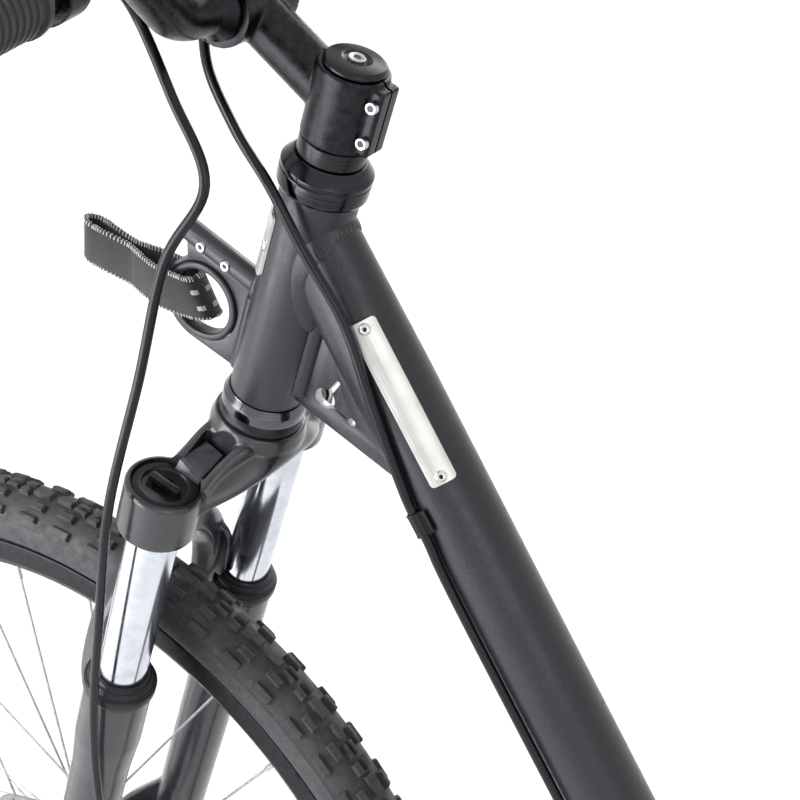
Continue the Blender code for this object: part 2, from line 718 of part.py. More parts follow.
def add_tow_loop():
    """A band of webbing sewn into a loop round the front rim of the ring."""
    rear, front = TOW_LOOP_REAR, TOW_LOOP_FRONT
    gap = TOW_LOOP_HALF_GAP
    shape = [
        (rear, 0),
        (rear + 0.0006, -0.54 * gap),
        (rear + 0.0030, -0.84 * gap),
        (rear + 1.6 * gap, -gap),
        (rear + 3.6 * gap, -0.55 * gap),
        (0.5 * (rear + front) + 0.5 * gap, -0.35 * gap),
        (front - 1.8 * gap, -0.55 * gap),
        (front - 0.6 * gap, -0.55 * gap),
        (front, 0),
    ]
    shape += [(fore, -side) for fore, side in reversed(shape[1:-1])]
    centre = [Vector((fore, side)) for fore, side in shape]
    inner, outer = [], []
    for k, point in enumerate(centre):
        along = (centre[(k + 1) % len(centre)] - centre[k - 1]).normalized()
        across = Vector((along.y, -along.x)) * WEBBING_THICKNESS / 2
        outer.append(point + across)
        inner.append(point - across)
    low = RING_CENTRE[1] - WEBBING_WIDTH / 2
    high = RING_CENTRE[1] + WEBBING_WIDTH / 2
    rings = [
        [(o.x, o.y, low), (o.x, o.y, high), (i.x, i.y, high), (i.x, i.y, low)]
        for o, i in zip(outer, inner)
    ]
    placed("tow_loop", loft(rings, loop=True), STEER, WEBBING)


# Plates and clip
def add_plates():
    seat = DOWN_TUBE_RADIUS + CLEARANCE
    low = NAME_PLATE_START
    name_plate = curved_plate(seat, PLATE_THICKNESS, NAME_PLATE_EDGES_DEG, low, low + NAME_PLATE_LENGTH)
    placed("name_plate", name_plate, TUBE, STAINLESS)
    seat = HEAD_TUBE_RADIUS + CLEARANCE
    badge = curved_plate(seat, HEAD_BADGE_THICKNESS, HEAD_BADGE_EDGES_DEG, *HEAD_BADGE_SPAN, steps=16)
    placed("head_badge", badge, STEER, STAINLESS)


HOSE_SEAT = DOWN_TUBE_RADIUS + HOSE_RADIUS + 2 * CLEARANCE


def beside_tube(along, angle_deg, lift=0.0):
    """The centre of a hose that lies on the down tube, at an angle counted from its left side."""
    angle = math.radians(angle_deg)
    reach = HOSE_SEAT + lift
    return TUBE @ Vector((reach * math.sin(angle), reach * math.cos(angle), along))


def add_hose_clip():
    """A clip bent round the hose, with its foot on the down tube."""
    inner = HOSE_RADIUS + 2 * CLEARANCE
    outer = inner + CLIP_WALL
    foot = -HOSE_RADIUS - CLEARANCE
    angles = [math.radians(-90 + 180 * k / 8) for k in range(9)]
    outside = [(outer * math.cos(angle), outer * math.sin(angle)) for angle in angles]
    inside = [(inner * math.cos(angle), inner * math.sin(angle)) for angle in reversed(angles)]
    outline = [(foot, -outer), *outside, (foot, outer), (foot, inner), *inside, (foot, -inner)]
    angle = math.radians(CLIP_ANGLE_DEG)
    outward = DOWN_TUBE_NORMAL * math.sin(angle) + LEFT * math.cos(angle)
    across = DOWN_TUBE.cross(outward)
    frame = frame_of(outward, across, DOWN_TUBE, beside_tube(CLIP_PLACE, CLIP_ANGLE_DEG))
    placed("hose_clip", prism(outline, -CLIP_LENGTH / 2, CLIP_LENGTH / 2), frame, FRAME_PAINT)


# Deck
RAIL_SIDE = DOWN_TUBE_RADIUS + RAIL_RADIUS + CLEARANCE
DROPOUT_INSIDE = REAR_HUB_WIDTH / 2 + CLEARANCE
DROPOUT_SIDE = DROPOUT_INSIDE + DROPOUT_THICKNESS / 2
RAIL_END = (0.078, 0.0620, -0.064)


def rail_line(side):
    """The centre line of one deck rail, from beside the down tube to the rear dropout."""
    lap_top = tube_join + (down_tube_length - RAIL_LAP) * DOWN_TUBE
    end_fore, end_side, end_up = RAIL_END
    front = rounded_path(
        [
            (lap_top.x, side * RAIL_SIDE, lap_top.z),
            (deck_corner.x, side * RAIL_SIDE, RAIL_HEIGHT),
            (stand_x, side * RAIL_SIDE, RAIL_HEIGHT),
        ],
        RAIL_BEND,
    )
    rear = rounded_path(
        [
            (stand_x, side * RAIL_SIDE, RAIL_HEIGHT),
            (footboard_rear - RAIL_REAR_KICK, side * RAIL_SIDE, RAIL_HEIGHT),
            (rear_axle.x + end_fore, side * end_side, rear_axle.z + end_up),
        ],
        RAIL_REAR_BEND,
    )
    return [*front, *rear[1:]]


def add_rails():
    for name, side in (("rail_left", 1), ("rail_right", -1)):
        line = rail_line(side)
        rail = placed(name, pipe(line, RAIL_RADIUS, RAIL_WALL, SMALL_SIDES, LEFT), WORLD, FRAME_PAINT)
        reach = 0.2
        face = side * (DROPOUT_INSIDE - CLEARANCE)
        beyond = [(-reach, face), (reach, face), (reach, side * reach), (-reach, side * reach)]
        combined(rail, prism(beyond, 0, 2 * REAR_TYRE_RADIUS), Matrix.Translation((rear_axle.x, 0, 0)))


def add_deck_bridge():
    half = RAIL_SIDE - RAIL_RADIUS - CLEARANCE
    front = deck_corner.x - DOWN_TUBE_RADIUS / math.sin(DOWN_TUBE_ANGLE) - BRIDGE_SETBACK
    outline = [(front - BRIDGE_LENGTH, -half), (front, -half), (front, half), (front - BRIDGE_LENGTH, half)]
    low = RAIL_HEIGHT - BRIDGE_THICKNESS / 2
    placed("deck_bridge", prism(outline, low, low + BRIDGE_THICKNESS), WORLD, FRAME_PAINT)


def add_footboard():
    centre = ((footboard_front + footboard_rear) / 2, 0, 0)
    outline = rounded_rectangle(FOOTBOARD_LENGTH / 2, FOOTBOARD_WIDTH / 2, FOOTBOARD_CORNER)
    low = RAIL_HEIGHT + RAIL_RADIUS + CLEARANCE
    board = prism(outline, low, low + FOOTBOARD_THICKNESS)
    placed("footboard", board, Matrix.Translation(centre), DECK_COAT)


def add_rear_dropouts():
    """Plates that carry the rear axle in open slots. The left one has a tab for the caliper."""
    plain = [
        (-0.018, -0.020),
        (-0.018, 0.014),
        (0.000, 0.020),
        (0.030, 0.004),
        (0.085, -0.046),
        (0.120, -0.066),
        (0.112, -0.090),
        (0.078, -0.078),
        (0.012, -0.022),
    ]
    tabbed = [*plain[:2], (-0.004, 0.030), (0.010, 0.084), (0.052, 0.084), (0.058, 0.010), *plain[4:]]
    slot_half = AXLE_RADIUS + CLEARANCE
    half = DROPOUT_THICKNESS / 2
    for name, side, outline in (("dropout_left", 1, tabbed), ("dropout_right", -1, plain)):
        place = Matrix.Translation((rear_axle.x, side * DROPOUT_SIDE, rear_axle.z))
        frame = place @ Matrix.Rotation(math.pi / 2, 4, "X")
        plate = placed(name, prism(outline, -half, half), frame, FRAME_PAINT)
        slot = slot_outline((0, 0), DROPOUT_SLOT_MOUTH, slot_half)
        combined(plate, prism(slot, -2 * half, 2 * half), frame)


# Stand
STAND_PIVOT_Z = RAIL_HEIGHT - RAIL_RADIUS - STAND_DROP / 2 - CLEARANCE


def add_stand():
    """A bent rod that swings down under the deck and stands on both ends."""
    plate_top = RAIL_HEIGHT - RAIL_RADIUS - CLEARANCE
    half_x = STAND_PLATE_LENGTH / 2
    half_y = RAIL_SIDE + RAIL_RADIUS * 0.7
    outline = [(-half_x, -half_y), (half_x, -half_y), (half_x, half_y), (-half_x, half_y)]
    base = Matrix.Translation((stand_x, 0, 0))
    bracket = placed(
        "stand_bracket", prism(outline, plate_top - STAND_PLATE_THICKNESS, plate_top), base, FRAME_PAINT
    )
    pivot_low = STAND_PIVOT_Z - STAND_ROD_RADIUS - STAND_EAR_FLOOR
    ear = STAND_ROD_RADIUS + STAND_EAR_MARGIN
    for side in (1, -1):
        inner = side * (STAND_PIVOT_HALF - STAND_EAR_INSET) - STAND_EAR_THICKNESS / 2
        outer = inner + STAND_EAR_THICKNESS
        ear_outline = [(-ear, inner), (ear, inner), (ear, outer), (-ear, outer)]
        combined(bracket, prism(ear_outline, pivot_low, plate_top - 0.002), base, "UNION")
    hole = rod(
        [Vector((0, y, STAND_PIVOT_Z)) for y in (-CUTTER_REACH, CUTTER_REACH)],
        STAND_ROD_RADIUS + SLIDE_GAP,
        16,
        (1, 0, 0),
    )
    combined(bracket, hole, base)
    foot_z = STAND_FOOT_RADIUS
    line = rounded_path(
        [
            (STAND_RAKE, STAND_REACH, foot_z),
            (0, STAND_PIVOT_HALF + STAND_SHOULDER, STAND_PIVOT_Z),
            (0, -STAND_PIVOT_HALF - STAND_SHOULDER, STAND_PIVOT_Z),
            (STAND_RAKE, -STAND_REACH, foot_z),
        ],
        STAND_BEND,
        20.0,
    )
    at_pivot = [point - Vector((0, 0, STAND_PIVOT_Z)) for point in line]
    frame = Matrix.Translation((stand_x, 0, STAND_PIVOT_Z))
    legs = placed("stand_legs", rod(at_pivot, STAND_ROD_RADIUS, 12, (1, 0, 0)), frame, BARE_STEEL)
    for end in (at_pivot[0], at_pivot[-1]):
        foot = turned(
            [
                (0.4 * STAND_FOOT_RADIUS, -STAND_FOOT_RADIUS),
                (STAND_FOOT_RADIUS, -0.7 * STAND_FOOT_RADIUS),
                (STAND_FOOT_RADIUS, 0.6 * STAND_FOOT_RADIUS),
                (0.6 * STAND_FOOT_RADIUS, STAND_FOOT_RADIUS),
            ],
            16,
            hollow=False,
        )
        combined(legs, foot, frame @ Matrix.Translation(end), "UNION")


# Wheels
def tyre_profile(tyre_radius, width, bead_radius):
    """The section of a tyre wall as a closed loop of (radius, side) points, open at the beads."""
    half = width / 2
    height = tyre_radius - bead_radius
    bead_side = RIM_WIDTH / 2 - TYRE_WALL
    outer = [
        (bead_radius + TYRE_SEAT_GAP, bead_side),
        (bead_radius + RIM_LIP + TYRE_SEAT_GAP, bead_side),
        (bead_radius + 0.30 * height, 0.90 * half),
        (bead_radius + 0.62 * height, half),
        (tyre_radius - 0.10 * height, 0.62 * half),
        (tyre_radius, 0),
    ]
    inner = [
        (bead_radius + TYRE_SEAT_GAP, bead_side - TYRE_WALL),
        (bead_radius + RIM_LIP + TYRE_WALL, bead_side - 0.8 * TYRE_WALL),
        (bead_radius + 0.30 * height + TYRE_WALL, 0.90 * half - TYRE_WALL),
        (bead_radius + 0.62 * height, half - TYRE_WALL),
        (tyre_radius - 0.10 * height - TYRE_WALL, 0.60 * half),
        (tyre_radius - TYRE_WALL, 0),
    ]
    left = [*outer, *((radius, -side) for radius, side in reversed(outer[:-1]))]
    right = [*((radius, -side) for radius, side in inner), *reversed(inner[:-1])]
    return [*left, *right]


def rim_profile(bead_radius):
    """A box section with two lips that hold the tyre's beads."""
    half = RIM_WIDTH / 2
    return [
        (bead_radius - RIM_DEPTH, -0.35 * half),
        (bead_radius - 0.45 * RIM_DEPTH, -half),
        (bead_radius + RIM_LIP, -half),
        (bead_radius, -half + RIM_WALL),
        (bead_radius, half - RIM_WALL),
        (bead_radius + RIM_LIP, half),
        (bead_radius - 0.45 * RIM_DEPTH, half),
        (bead_radius - RIM_DEPTH, 0.35 * half),
    ]


def spoke_ends(k, flange_half, rim_radius):
    """Where spoke k leaves its flange and where it meets the rim."""
    side = 1 if k % 2 else -1
    pair = k // 2
    lean = 1 if pair % 2 else -1
    rim_angle = 2 * math.pi * (k + 0.5) / SPOKES
    hub_angle = rim_angle + lean * math.radians(SPOKE_CROSS_DEG)
    offset = side * (flange_half + lean * SPOKE_OFFSET)
    hub_radius = HUB_FLANGE_RADIUS - SPOKE_HOLE_INSET
    start = Vector((hub_radius * math.cos(hub_angle), hub_radius * math.sin(hub_angle), offset))
    end = Vector((rim_radius * math.cos(rim_angle), rim_radius * math.sin(rim_angle), side * SPOKE_RIM_SIDE))
    return start, end


def add_hub(name, frame, flange_half, hub_width, rim_radius):
    """A hub shell with its laced spokes. The spokes stop just short of the rim."""
    bore = AXLE_RADIUS + CLEARANCE
    end = hub_width / 2 - CLEARANCE
    thick = HUB_FLANGE_THICKNESS / 2
    half = [
        (HUB_BARREL_RADIUS, flange_half - thick - HUB_INNER_CONE),
        (HUB_FLANGE_RADIUS, flange_half - thick),
        (HUB_FLANGE_RADIUS, flange_half + thick),
        (HUB_BARREL_RADIUS, flange_half + thick + HUB_OUTER_CONE),
        (HUB_BARREL_RADIUS, end),
        (bore, end),
    ]
    profile = [*((radius, -side) for radius, side in reversed(half)), *half]
    hub = placed(name, turned(profile, SMALL_SIDES + 4), frame, HUB_BLACK)
    spokes = bmesh.new()
    for k in range(SPOKES):
        start, finish = spoke_ends(k, flange_half, rim_radius)
        spoke = rod([start, finish], SPOKE_RADIUS, 4, (0, 0, 1))
        piece = bpy.data.meshes.new("spoke")
        spoke.to_mesh(piece)
        spoke.free()
        spokes.from_mesh(piece)
        bpy.data.meshes.remove(piece)
    combined(hub, spokes, frame, "UNION")


def add_rotor(name, frame, side):
    """A brake disc with windows between its arms."""
    half = ROTOR_THICKNESS / 2
    bore = HUB_BARREL_RADIUS + CLEARANCE
    profile = [
        (ROTOR_RADIUS, side - half),
        (ROTOR_RADIUS, side + half),
        (bore, side + half),
        (bore, side - half),
    ]
    rotor = placed(name, turned(profile, ROTOR_STEPS), frame, BARE_STEEL)
    low, high = ROTOR_SPIDER_RADIUS, ROTOR_RADIUS - ROTOR_BAND
    for k in range(ROTOR_WINDOWS):
        start = 2 * math.pi * k / ROTOR_WINDOWS
        outline = []
        for radius, sweep, direction in ((high, 0.0, 1), (low, ROTOR_ARM_SWEEP, -1)):
            inset = ROTOR_ARM_WIDTH / 2 / radius
            span = 2 * math.pi / ROTOR_WINDOWS - 2 * inset
            for step in range(7):
                share = step / 6 if direction > 0 else 1 - step / 6
                angle = start + sweep + inset + span * share
                outline.append((radius * math.cos(angle), radius * math.sin(angle)))
        combined(rotor, prism(outline, side - 2 * half, side + 2 * half), frame)


def add_axle(name, frame, hub_width, dropout_thickness):
    """A through axle with a nut outside each dropout."""
    inner = hub_width / 2 + dropout_thickness / 2 + CLEARANCE
    outer = inner + AXLE_NUT_LENGTH
    half = [
        (AXLE_RADIUS, inner),
        (AXLE_NUT_RADIUS, inner),
        (AXLE_NUT_RADIUS, outer - AXLE_NUT_CHAMFER),
        (0.6 * AXLE_NUT_RADIUS, outer),
    ]
    profile = [*((radius, -side) for radius, side in reversed(half)), *half]
    placed(name, turned(profile, 16, hollow=False), frame, SILVER)


def add_wheel(prefix, frame, sizes):
    """Tyre, rim, hub with spokes, and brake disc."""
    tyre_radius, width, bead_radius, flange_half, hub_width, rotor_side = sizes
    section = tyre_profile(tyre_radius, width, bead_radius)
    placed(f"{prefix}_tyre", turned(section, WHEEL_STEPS), frame, TYRE_RUBBER)
    placed(f"{prefix}_rim", turned(rim_profile(bead_radius), WHEEL_STEPS), frame, RIM_BLACK)
    rim_radius = (bead_radius - RIM_DEPTH) * math.cos(math.pi / WHEEL_STEPS) - CLEARANCE
    add_hub(f"{prefix}_hub", frame, flange_half, hub_width, rim_radius)
    add_rotor(f"{prefix}_rotor", frame, rotor_side)


FRONT_SIZES = (
    FRONT_TYRE_RADIUS,
    FRONT_TYRE_WIDTH,
    FRONT_BEAD_RADIUS,
    FRONT_FLANGE_HALF,
    FRONT_HUB_WIDTH,
    FRONT_ROTOR_SIDE,
)
REAR_SIZES = (
    REAR_TYRE_RADIUS,
    REAR_TYRE_WIDTH,
    REAR_BEAD_RADIUS,
    REAR_FLANGE_HALF,
    REAR_HUB_WIDTH,
    REAR_ROTOR_SIDE,
)


def add_caliper(name, frame):
    """A brake caliper in a frame whose Z is the axle's direction and whose X points out from the axle."""
    outline = rounded_rectangle(CALIPER_HEIGHT / 2, CALIPER_LENGTH / 2, CALIPER_CORNER, 3)
    body = placed(name, prism(outline, -CALIPER_HALF_WIDTH, CALIPER_HALF_WIDTH), frame, BLACK_ANODISED)
    slot_deep = CALIPER_HEIGHT
    half = CALIPER_SLOT / 2
    roof = CALIPER_HEIGHT / 3
    slot = [
        (-slot_deep, -CALIPER_LENGTH),
        (roof, -CALIPER_LENGTH),
        (roof, CALIPER_LENGTH),
        (-slot_deep, CALIPER_LENGTH),
    ]
    combined(body, prism(slot, -half, half), frame)


def caliper_frame(wheel, side, angle_deg):
    """A place over the brake disc's rim, at an angle round the axle."""
    turn = Matrix.Rotation(math.radians(angle_deg), 4, "Z")
    outward = Matrix.Translation((ROTOR_RADIUS - CALIPER_OVERLAP, 0, 0))
    return wheel @ Matrix.Translation((0, 0, side)) @ turn @ outward


# Headset
def add_headset():
    stub = HEAD_TUBE_BORE - CLEARANCE
    bore = STEERER_RADIUS + CUP_BORE_GAP
    cavity = BEARING_RADIUS + CLEARANCE
    lower = [
        (bore, -CUP_FLOOR),
        (cavity, -CUP_FLOOR),
        (cavity, -LOWER_CUP_HEIGHT),
        (LOWER_CUP_RADIUS - CUP_EDGE, -LOWER_CUP_HEIGHT),
        (LOWER_CUP_RADIUS, -LOWER_CUP_HEIGHT + CUP_EDGE),
        (LOWER_CUP_RADIUS, -CLEARANCE - 2 * CUP_EDGE),
        (LOWER_CUP_RADIUS - CUP_EDGE, -CLEARANCE),
        (stub, -CLEARANCE),
        (stub, CUP_STUB),
        (bore, CUP_STUB),
    ]
    placed("lower_cup", turned(lower, HEAD_SIDES), STEER, BLACK_ANODISED)
    top = HEAD_TUBE_LENGTH
    upper = [
        (bore, top - CUP_STUB),
        (stub, top - CUP_STUB),
        (stub, top + CLEARANCE),
        (UPPER_CUP_RADIUS - CUP_EDGE, top + CLEARANCE),
        (UPPER_CUP_RADIUS, top + UPPER_CUP_HEIGHT),
        (cavity, top + UPPER_CUP_HEIGHT),
        (cavity, top + CUP_FLOOR),
        (bore, top + CUP_FLOOR),
    ]
    placed("upper_cup", turned(upper, HEAD_SIDES), STEER, BLACK_ANODISED)
    inner = STEERER_RADIUS + CLEARANCE
    for name, low, high in (
        ("lower_bearing", -LOWER_CUP_HEIGHT, -CUP_FLOOR - CLEARANCE),
        ("upper_bearing", top + CUP_FLOOR + CLEARANCE, top + UPPER_CUP_HEIGHT),
    ):
        ring = [(BEARING_RADIUS, low), (BEARING_RADIUS, high), (inner, high), (inner, low)]
        placed(name, turned(ring), STEER, BARE_STEEL)
    race_top = -LOWER_CUP_HEIGHT - CLEARANCE
    race = [
        (inner, race_top - RACE_HEIGHT),
        (RACE_RADIUS, race_top - RACE_HEIGHT),
        (RACE_RADIUS - RACE_EDGE / 2, race_top - RACE_EDGE),
        (RACE_RADIUS - RACE_TOP_INSET, race_top),
        (inner, race_top),
    ]
    placed("crown_race", turned(race, HEAD_SIDES), STEER, BLACK_RUBBER)
    cover_low = top + UPPER_CUP_HEIGHT + CLEARANCE
    cover = [
        (inner, cover_low),
        (UPPER_CUP_RADIUS, cover_low),
        (UPPER_CUP_RADIUS, cover_low + COVER_RIM),
        (COVER_TOP_RADIUS, cover_low + COVER_HEIGHT),
        (inner, cover_low + COVER_HEIGHT),
    ]
    placed("top_cover", turned(cover, HEAD_SIDES), STEER, BLACK_ANODISED)


COVER_TOP = HEAD_TUBE_LENGTH + UPPER_CUP_HEIGHT + CLEARANCE + COVER_HEIGHT
STEM_LOW = COVER_TOP + CLEARANCE
STEM_TOP = STEM_LOW + SPACER_HEIGHT + STEM_CLAMP_HEIGHT
CROWN_TOP = -LOWER_CUP_HEIGHT - CLEARANCE - RACE_HEIGHT - CLEARANCE
STANCHION_TOP = CAP_TOP - CAP_HEIGHT - CLEARANCE


# Fork
def leg_frame(side):
    """The frame of one fork leg, with Z up its centre line."""
    return STEER @ Matrix.Translation((STANCHION_FORE, side * STANCHION_SIDE, 0))


def crown_section(rear, front, low, high, corner=0.007):
    """A rounded section of the crown's beam in (fore, up)."""
    middle = Vector(((rear + front) / 2, (low + high) / 2))
    outline = rounded_rectangle((front - rear) / 2, (high - low) / 2, corner, 2)
    return [(middle.x + x, middle.y + y) for x, y in outline]


def add_crown():
    """The crown: a drooping beam, a hub round the steerer and a boss round each stanchion."""
    stations = (
        (0.000, -0.0255, 0.0260, -0.0440, CROWN_TOP - 0.0040),
        (0.024, -0.0240, 0.0245, -0.0450, CROWN_TOP - 0.0065),
        (0.040, -0.0185, 0.0240, -0.0505, CROWN_TOP - 0.0165),
        (0.052, -0.0120, 0.0250, -0.0580, CROWN_TOP - 0.0235),
        (0.062, -0.0080, 0.0260, -0.0690, CROWN_TOP - 0.0300),
    )
    both = [(-side, *rest) for side, *rest in reversed(stations[1:])] + list(stations)
    rings = []
    for side, rear, front, low, high in both:
        rings.append([(fore, side, up) for fore, up in crown_section(rear, front, low, high)])
    crown = placed("fork_crown", loft(rings), STEER, CROWN_PAINT)
    hub = turned(
        [
            (CROWN_TOP_RADIUS, CROWN_TOP),
            (CROWN_HUB_RADIUS, CROWN_TOP - CROWN_SHOULDER),
            (CROWN_HUB_RADIUS - 0.0015, CROWN_HUB_BOTTOM + 0.004),
            (CROWN_HUB_RADIUS - 0.0050, CROWN_HUB_BOTTOM),
        ],
        TUBE_SIDES,
        hollow=False,
    )
    combined(crown, hub, STEER, "UNION")
    for side in (1, -1):
        boss = turned(
            [
                (CROWN_BOSS_RADIUS - CROWN_BOSS_EDGE, CROWN_BOSS_TOP),
                (CROWN_BOSS_RADIUS, CROWN_BOSS_TOP - CROWN_BOSS_EDGE),
                (CROWN_BOSS_RADIUS, CROWN_BOSS_BOTTOM),
            ],
            TUBE_SIDES,
            hollow=False,
        )
        combined(crown, boss, leg_frame(side), "UNION")
        combined(crown, crown_pocket(side), STEER)
    wide = STEERER_RADIUS + CLEARANCE
    combined(crown, turned([(wide, -2 * CUTTER_REACH), (wide, CUTTER_REACH)], hollow=False), STEER)
    for side in (1, -1):
        bore = [
            (STANCHION_RADIUS + CLEARANCE, 2 * CROWN_BOSS_BOTTOM),
            (STANCHION_RADIUS + CLEARANCE, STANCHION_TOP - CLEARANCE),
            (CAP_RADIUS + CLEARANCE, STANCHION_TOP - CLEARANCE),
            (CAP_RADIUS + CLEARANCE, 0),
        ]
        combined(crown, turned(bore, hollow=False), leg_frame(side))


def crown_pocket(side):
    """The lightening pocket in one arm of the crown, open upwards."""
    floor = CROWN_TOP - CROWN_POCKET_DEPTH
    outline = [
        (-0.0040, side * 0.0275),
        (0.0170, side * 0.0275),
        (0.0165, side * 0.0400),
        (0.0020, side * 0.0400),
    ]
    return prism(outline, floor, 0.0)


def add_fork_tubes():
    low = CROWN_HUB_BOTTOM + 0.004
    steerer = [
        (STEERER_RADIUS, low),
        (STEERER_RADIUS, STEM_TOP - 0.002),
        (STEERER_RADIUS - STEERER_WALL, STEM_TOP - 0.002),
        (STEERER_RADIUS - STEERER_WALL, low),
    ]
    placed("steerer_tube", turned(steerer), STEER, BARE_STEEL)
    bottom = SEAL_TOP - STANCHION_OVERLAP
    inner = STANCHION_RADIUS - STANCHION_WALL
    for name, side in (("stanchion_left", 1), ("stanchion_right", -1)):
        tube = [
            (STANCHION_RADIUS, bottom),
            (STANCHION_RADIUS, STANCHION_TOP),
            (inner, STANCHION_TOP),
            (inner, bottom),
        ]
        placed(name, turned(tube), leg_frame(side), CHROME)
    cap_low = STANCHION_TOP + CLEARANCE
    cap = [
        (CAP_RADIUS, cap_low),
        (CAP_RADIUS, cap_low + 0.8 * CAP_HEIGHT),
        (0.93 * CAP_RADIUS, CAP_TOP),
    ]
    for name, side in (("preload_knob", 1), ("stanchion_cap", -1)):
        made = placed(name, turned(cap, TUBE_SIDES, hollow=False), leg_frame(side), BLACK_PLASTIC)
        dish = turned([(0.45 * CAP_RADIUS, cap_low + 0.7 * CAP_HEIGHT), (0.45 * CAP_RADIUS, 0)], 6, False)
        combined(made, dish, leg_frame(side))


def add_seals():
    base = SEAL_TOP - SEAL_HEIGHT
    bore = STANCHION_RADIUS + SLIDE_GAP
    profile = [
        (bore, base),
        (LEG_RADIUS, base),
        (SEAL_RADIUS, base + 0.002),
        (SEAL_RADIUS, base + 0.0075),
        (SEAL_RADIUS - 0.0018, base + 0.0085),
        (0.0200, base + 0.0095),
        (0.0196, base + 0.0125),
        (0.0180, base + 0.0130),
        (0.0176, SEAL_TOP),
        (bore, SEAL_TOP),
    ]
    for name, side in (("seal_left", 1), ("seal_right", -1)):
        placed(name, turned(profile), leg_frame(side), BLACK_RUBBER)


def add_fork_lowers():
    """Both lower legs, the arch over the tyre and the dropouts, cast in one piece."""
    top = SEAL_TOP - SEAL_HEIGHT - CLEARANCE
    foot = -AXLE_DROP + LEG_FOOT_RISE
    bore = STANCHION_RADIUS + SLIDE_GAP
    bore_floor = SEAL_TOP - STANCHION_OVERLAP - FORK_TRAVEL - BORE_SPARE
    arch = fork_arch()
    lowers = placed("fork_lowers", arch, STEER, CROWN_PAINT)
    for side in (1, -1):
        leg = turned(
            [
                (LEG_RADIUS, top),
                (LEG_RADIUS, top - LEG_TAPER[0]),
                (LEG_FOOT_RADIUS + 0.0012, top - LEG_TAPER[1]),
                (LEG_FOOT_RADIUS, foot),
                (0.7 * LEG_FOOT_RADIUS, foot - LEG_FOOT_EDGE),
            ],
            TUBE_SIDES,
            hollow=False,
        )
        combined(lowers, leg, leg_frame(side), "UNION")
        combined(lowers, fork_dropout(side), upright_plate_frame(STEER, 0), "UNION")
    combined(lowers, fork_caliper_tab(), upright_plate_frame(STEER, 0), "UNION")
    seal_seat = SEAL_RADIUS + SLIDE_GAP
    for side in (1, -1):
        seat_floor = top + CLEARANCE / 2
        hollow = [(bore, bore_floor), (bore, seat_floor), (seal_seat, seat_floor), (seal_seat, 0)]
        combined(lowers, turned(hollow, TUBE_SIDES, False), leg_frame(side))
        mouth = (FORK_OFFSET + 0.004, -AXLE_DROP - 0.05)
        slot = slot_outline((FORK_OFFSET, -AXLE_DROP), mouth, AXLE_RADIUS + CLEARANCE)
        combined(lowers, prism(slot, -FRONT_HUB_WIDTH, FRONT_HUB_WIDTH), upright_plate_frame(STEER, 0))


def fork_arch():
    """The brace between the legs, ahead of the stanchions and over the tyre."""
    low = SEAL_TOP - SEAL_HEIGHT
    top = ARCH_TOP - ARCH_HALF_THICKNESS
    half = [
        (STANCHION_FORE + 0.010, STANCHION_SIDE - 0.004, low - 0.030, 1.2),
        (ARCH_FORE - 0.003, STANCHION_SIDE - 0.009, low - 0.008, 1.35),
        (ARCH_FORE, STANCHION_SIDE - 0.016, 0.55 * low + 0.45 * top, 1.4),
        (ARCH_FORE, STANCHION_SIDE - 0.028, 0.24 * low + 0.76 * top, 1.3),
        (ARCH_FORE, STANCHION_SIDE - 0.044, top - 0.003, 1.1),
        (ARCH_FORE, 0.0, top, 1.0),
    ]
    both = [*half, *((x, -y, z, wide) for x, y, z, wide in reversed(half[:-1]))]
    points = smooth_route([entry[:3] for entry in both], 2)
    widths = smooth_route([(entry[3], 0, 0) for entry in both], 2)

    def section(k):
        wide = ARCH_HALF_THICKNESS * widths[k].x
        return [(ARCH_HALF_DEPTH * x, wide * y) for x, y in circle(1.0, 10)]

    return loft(rings_along(points, section, (0, 0, -1)))


def fork_dropout(side):
    """A plate that carries the axle ahead of the leg's foot."""
    centre = -side * (FRONT_HUB_WIDTH / 2 + CLEARANCE + FORK_DROPOUT_THICKNESS / 2)
    half = FORK_DROPOUT_THICKNESS / 2
    low, fore = -AXLE_DROP, FORK_OFFSET
    outline = [
        (STANCHION_FORE - 0.010, low + 0.060),
        (STANCHION_FORE - 0.010, low + 0.014),
        (fore - 0.014, low - 0.014),
        (fore + 0.010, low - 0.016),
        (fore + 0.017, low + 0.002),
        (fore + 0.010, low + 0.018),
        (STANCHION_FORE + 0.014, low + 0.060),
    ]
    return prism(outline, centre - half, centre + half)


def fork_caliper_tab():
    """A tab behind the left leg that holds the caliper by its outer face."""
    face = FRONT_ROTOR_SIDE + CALIPER_HALF_WIDTH + CLEARANCE
    low = -AXLE_DROP
    fore = STANCHION_FORE
    outline = [
        (fore - 0.008, low + 0.006),
        (fore - 0.008, low + 0.075),
        (fore - 0.030, low + 0.062),
        (fore - 0.052, low + 0.048),
        (fore - 0.058, low + 0.018),
        (fore - 0.048, low + 0.006),
    ]
    return prism(outline, -face - CALIPER_TAB_THICKNESS, -face)


# Stem and handlebar
BAR_CENTRE = (STEM_REACH, STEM_LOW + SPACER_HEIGHT + STEM_CLAMP_HEIGHT / 2 + STEM_RISE)


